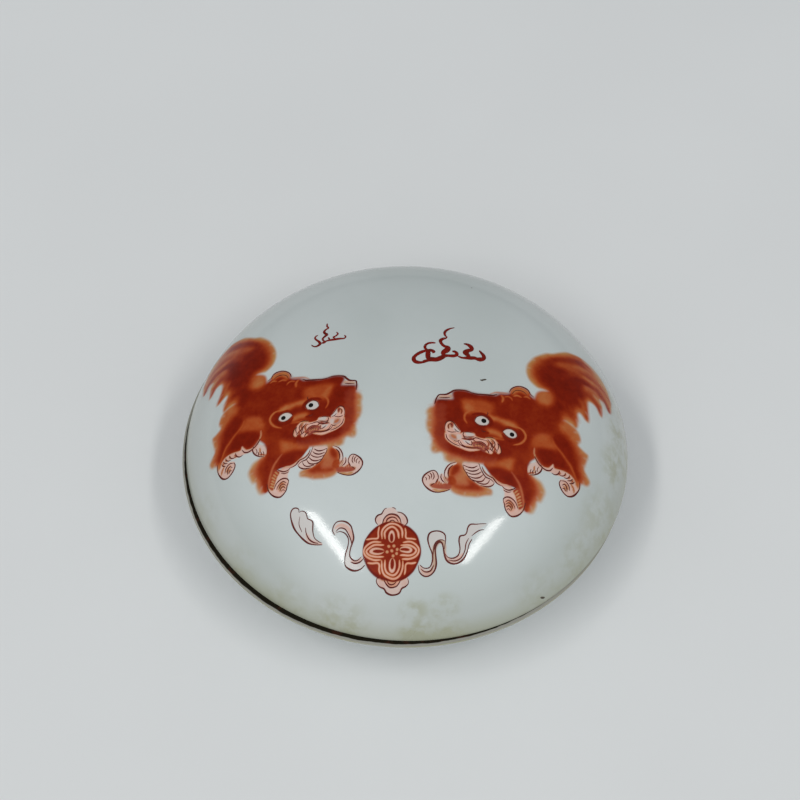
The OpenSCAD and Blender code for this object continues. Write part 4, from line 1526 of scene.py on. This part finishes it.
class SEALBOX_OT_paste(bpy.types.Operator):
    """Kneads the seal paste into the well, with dents where a seal was pressed"""

    bl_idname = "sealbox.paste"
    bl_label = "Seal paste"

    def execute(self, context):
        s, colours = context.scene.seal_box_sizes, context.scene.seal_box_colours
        red = kept("cinnabar seal paste", paste_material, colours)
        bowl = bowl_side(s, s.wall + 0.3 * MM)
        lower = bowl[(bowl[:, 0] < s.paste_radius) & (bowl[:, 1] > s.floor_height + 0.1 * MM)
                     & (bowl[:, 1] < s.paste_level)]
        crown = two_arcs(
            s.paste_radius - 0.1 * MM, s.paste_rise, 2 * MM, math.radians(80), fine=1.6
        ) + np.array([0, s.paste_level])
        bottom = s.floor_height + 0.02 * MM
        outline = np.vstack([
            [(0.0, bottom), (lower[-1, 0] - 0.6 * MM, bottom)], lower[::-1], crown,
        ])
        outline[-1, 0] = 0.0
        mesh = turned("paste_body", eased(outline, 0.4 * MM), red, segments=200)
        co = points_of(mesh)
        x, y, z = co.T
        r = np.hypot(x, y)
        top = np.clip((z - s.paste_level - 0.9 * MM) / (1.2 * MM), 0, 1)
        drop = 0.32 + 0.22 * waves(x, y, 4, 9) + 0.12 * waves(x, y, 9, 3.4)
        # Two square dents of a pressed seal, and the trough left by the paste knife
        for cx, cy, half, turn_by in ((-9, 4, 8, 0.3), (11, -10, 6.5, -0.5)):
            u = (x / MM - cx) * math.cos(turn_by) + (y / MM - cy) * math.sin(turn_by)
            v = (y / MM - cy) * math.cos(turn_by) - (x / MM - cx) * math.sin(turn_by)
            reach = np.maximum(np.abs(u), np.abs(v))
            drop += 0.55 * np.clip((half + 1.2 - reach) / 1.8, 0, 1) ** 2
        trough = 27 + 3 * np.sin(np.arctan2(y, x) * 2 + 1)
        drop += 0.45 * np.exp(-(((r / MM - trough) / 3.2) ** 2))
        co[:, 2] = z - top * np.clip(drop, 0.02, 1.7) * MM
        mesh.vertices.foreach_set("co", co.ravel())
        finished("paste_body", mesh, "root", "seal_paste")
        # Fibres grow from the upper faces only, well inside the edge
        upper = [tuple(p.vertices) for p in mesh.polygons
                 if p.normal.z > 0.6 and math.hypot(*p.center.xy) < s.paste_radius - 3 * MM
                 and p.center.z > s.paste_level]
        fibres = run_nodes(
            "paste_fibres", points_of(mesh), [], fibre_tree(),
            {"Density": 1150000.0, "Seed": 5, "Thickness": 0.045 * MM, "Paste": red}, None, upper,
        )
        finished("paste_fibres", fibres, "root", recalculate=False)
        return {"FINISHED"}


def enamels(context):
    """The enamels of the painting: the wash, and the two that are drawn with."""
    colours = context.scene.seal_box_colours
    wash = kept("iron red overglaze enamel", wash_material, colours)
    name = "iron red line enamel"
    ink = kept(name, line_material, name, colours.ink, linear("#7A3226"))
    name = "black overglaze enamel"
    black = kept(name, line_material, name, colours.black, linear("#1A1512"))
    return wash, ink, black


class SEALBOX_OT_lions(bpy.types.Operator):
    """Paints the two lions, one drawing laid twice"""

    bl_idname = "sealbox.lions"
    bl_label = "Lions"

    def execute(self, context):
        sizes = context.scene.seal_box_sizes
        wash, ink, black = enamels(context)
        painting = paint_lion(0.165)
        for side, place in (("right", as_drawn), ("left", other_side)):
            enamel_film(f"lion_{side}_wash", painting, sizes, wash, place)
            drawn_lines(f"lion_{side}_lines", LION_INK, sizes, ink, place, wider=1.12)
            dabs(f"lion_{side}_pupils", LION_PUPILS, sizes, black, place)
        return {"FINISHED"}


class SEALBOX_OT_ball(bpy.types.Operator):
    """Paints the brocade ball between its tufts"""

    bl_idname = "sealbox.ball"
    bl_label = "Brocade ball"

    def execute(self, context):
        sizes = context.scene.seal_box_sizes
        wash, ink, _ = enamels(context)
        enamel_film("ball_wash", paint_ball(0.09), sizes, wash)
        drawn_lines("ball_lines", BALL_INK, sizes, ink, wider=1.1, seed=5)
        return {"FINISHED"}


class SEALBOX_OT_ribbons(bpy.types.Operator):
    """Paints the ribbons that float from the ball"""

    bl_idname = "sealbox.ribbons"
    bl_label = "Ribbons"

    def execute(self, context):
        sizes = context.scene.seal_box_sizes
        wash, ink, _ = enamels(context)
        enamel_film("ribbon_wash", paint_ribbons(0.14), sizes, wash)
        drawn_lines("ribbon_lines", RIBBON_INK, sizes, ink, wider=1.08, seed=9)
        return {"FINISHED"}


class SEALBOX_OT_flames(bpy.types.Operator):
    """Paints the two small flames above the lions"""

    bl_idname = "sealbox.flames"
    bl_label = "Flames"

    def execute(self, context):
        name = "iron red flame enamel"
        flame = kept(name, line_material, name, linear("#7C1408"), linear("#3E1406"))
        drawn_lines("flame_lines", FLAME_INK, context.scene.seal_box_sizes, flame, seed=12)
        return {"FINISHED"}


class SEALBOX_OT_marks(bpy.types.Operator):
    """Adds the small dark flaws of the firing that the glaze keeps"""

    bl_idname = "sealbox.marks"
    bl_label = "Kiln marks"

    def execute(self, context):
        sizes, colours = context.scene.seal_box_sizes, context.scene.seal_box_colours
        spot = kept("iron fleck", line_material, "iron fleck", colours.speck, linear("#6E675C"))
        drawn_lines("kiln_marks", KILN_MARKS, sizes, spot, lift=0.012, seed=15)
        return {"FINISHED"}


class SEALBOX_PT_panel(bpy.types.Panel):
    """Lists the steps that build the box"""

    bl_idname = "SEALBOX_PT_panel"
    bl_label = "Seal Box"
    bl_space_type = "VIEW_3D"
    bl_region_type = "UI"
    bl_category = "Seal Box"

    def draw(self, context):
        layout = self.layout
        for step in STEPS:
            layout.operator(step.bl_idname)
        for group in (context.scene.seal_box_sizes, context.scene.seal_box_colours):
            box = layout.box()
            for name in group.bl_rna.properties.keys():
                if name not in {"rna_type", "name"}:
                    box.prop(group, name)


STEPS = (
    SEALBOX_OT_stage, SEALBOX_OT_lid, SEALBOX_OT_base, SEALBOX_OT_paste, SEALBOX_OT_lions,
    SEALBOX_OT_ball, SEALBOX_OT_ribbons, SEALBOX_OT_flames, SEALBOX_OT_marks,
)
CLASSES = (BoxSizes, BoxColours, *STEPS, SEALBOX_PT_panel)


def register():
    for cls in CLASSES:
        bpy.utils.register_class(cls)
    bpy.types.Scene.seal_box_sizes = bpy.props.PointerProperty(type=BoxSizes)
    bpy.types.Scene.seal_box_colours = bpy.props.PointerProperty(type=BoxColours)


def unregister():
    del bpy.types.Scene.seal_box_colours
    del bpy.types.Scene.seal_box_sizes
    for cls in reversed(CLASSES):
        bpy.utils.unregister_class(cls)


def main():
    """Builds the box in order."""
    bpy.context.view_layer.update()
    register()
    for step in STEPS:
        group, name = step.bl_idname.split(".")
        getattr(getattr(bpy.ops, group), name)()


if __name__ == "__main__":
    main()
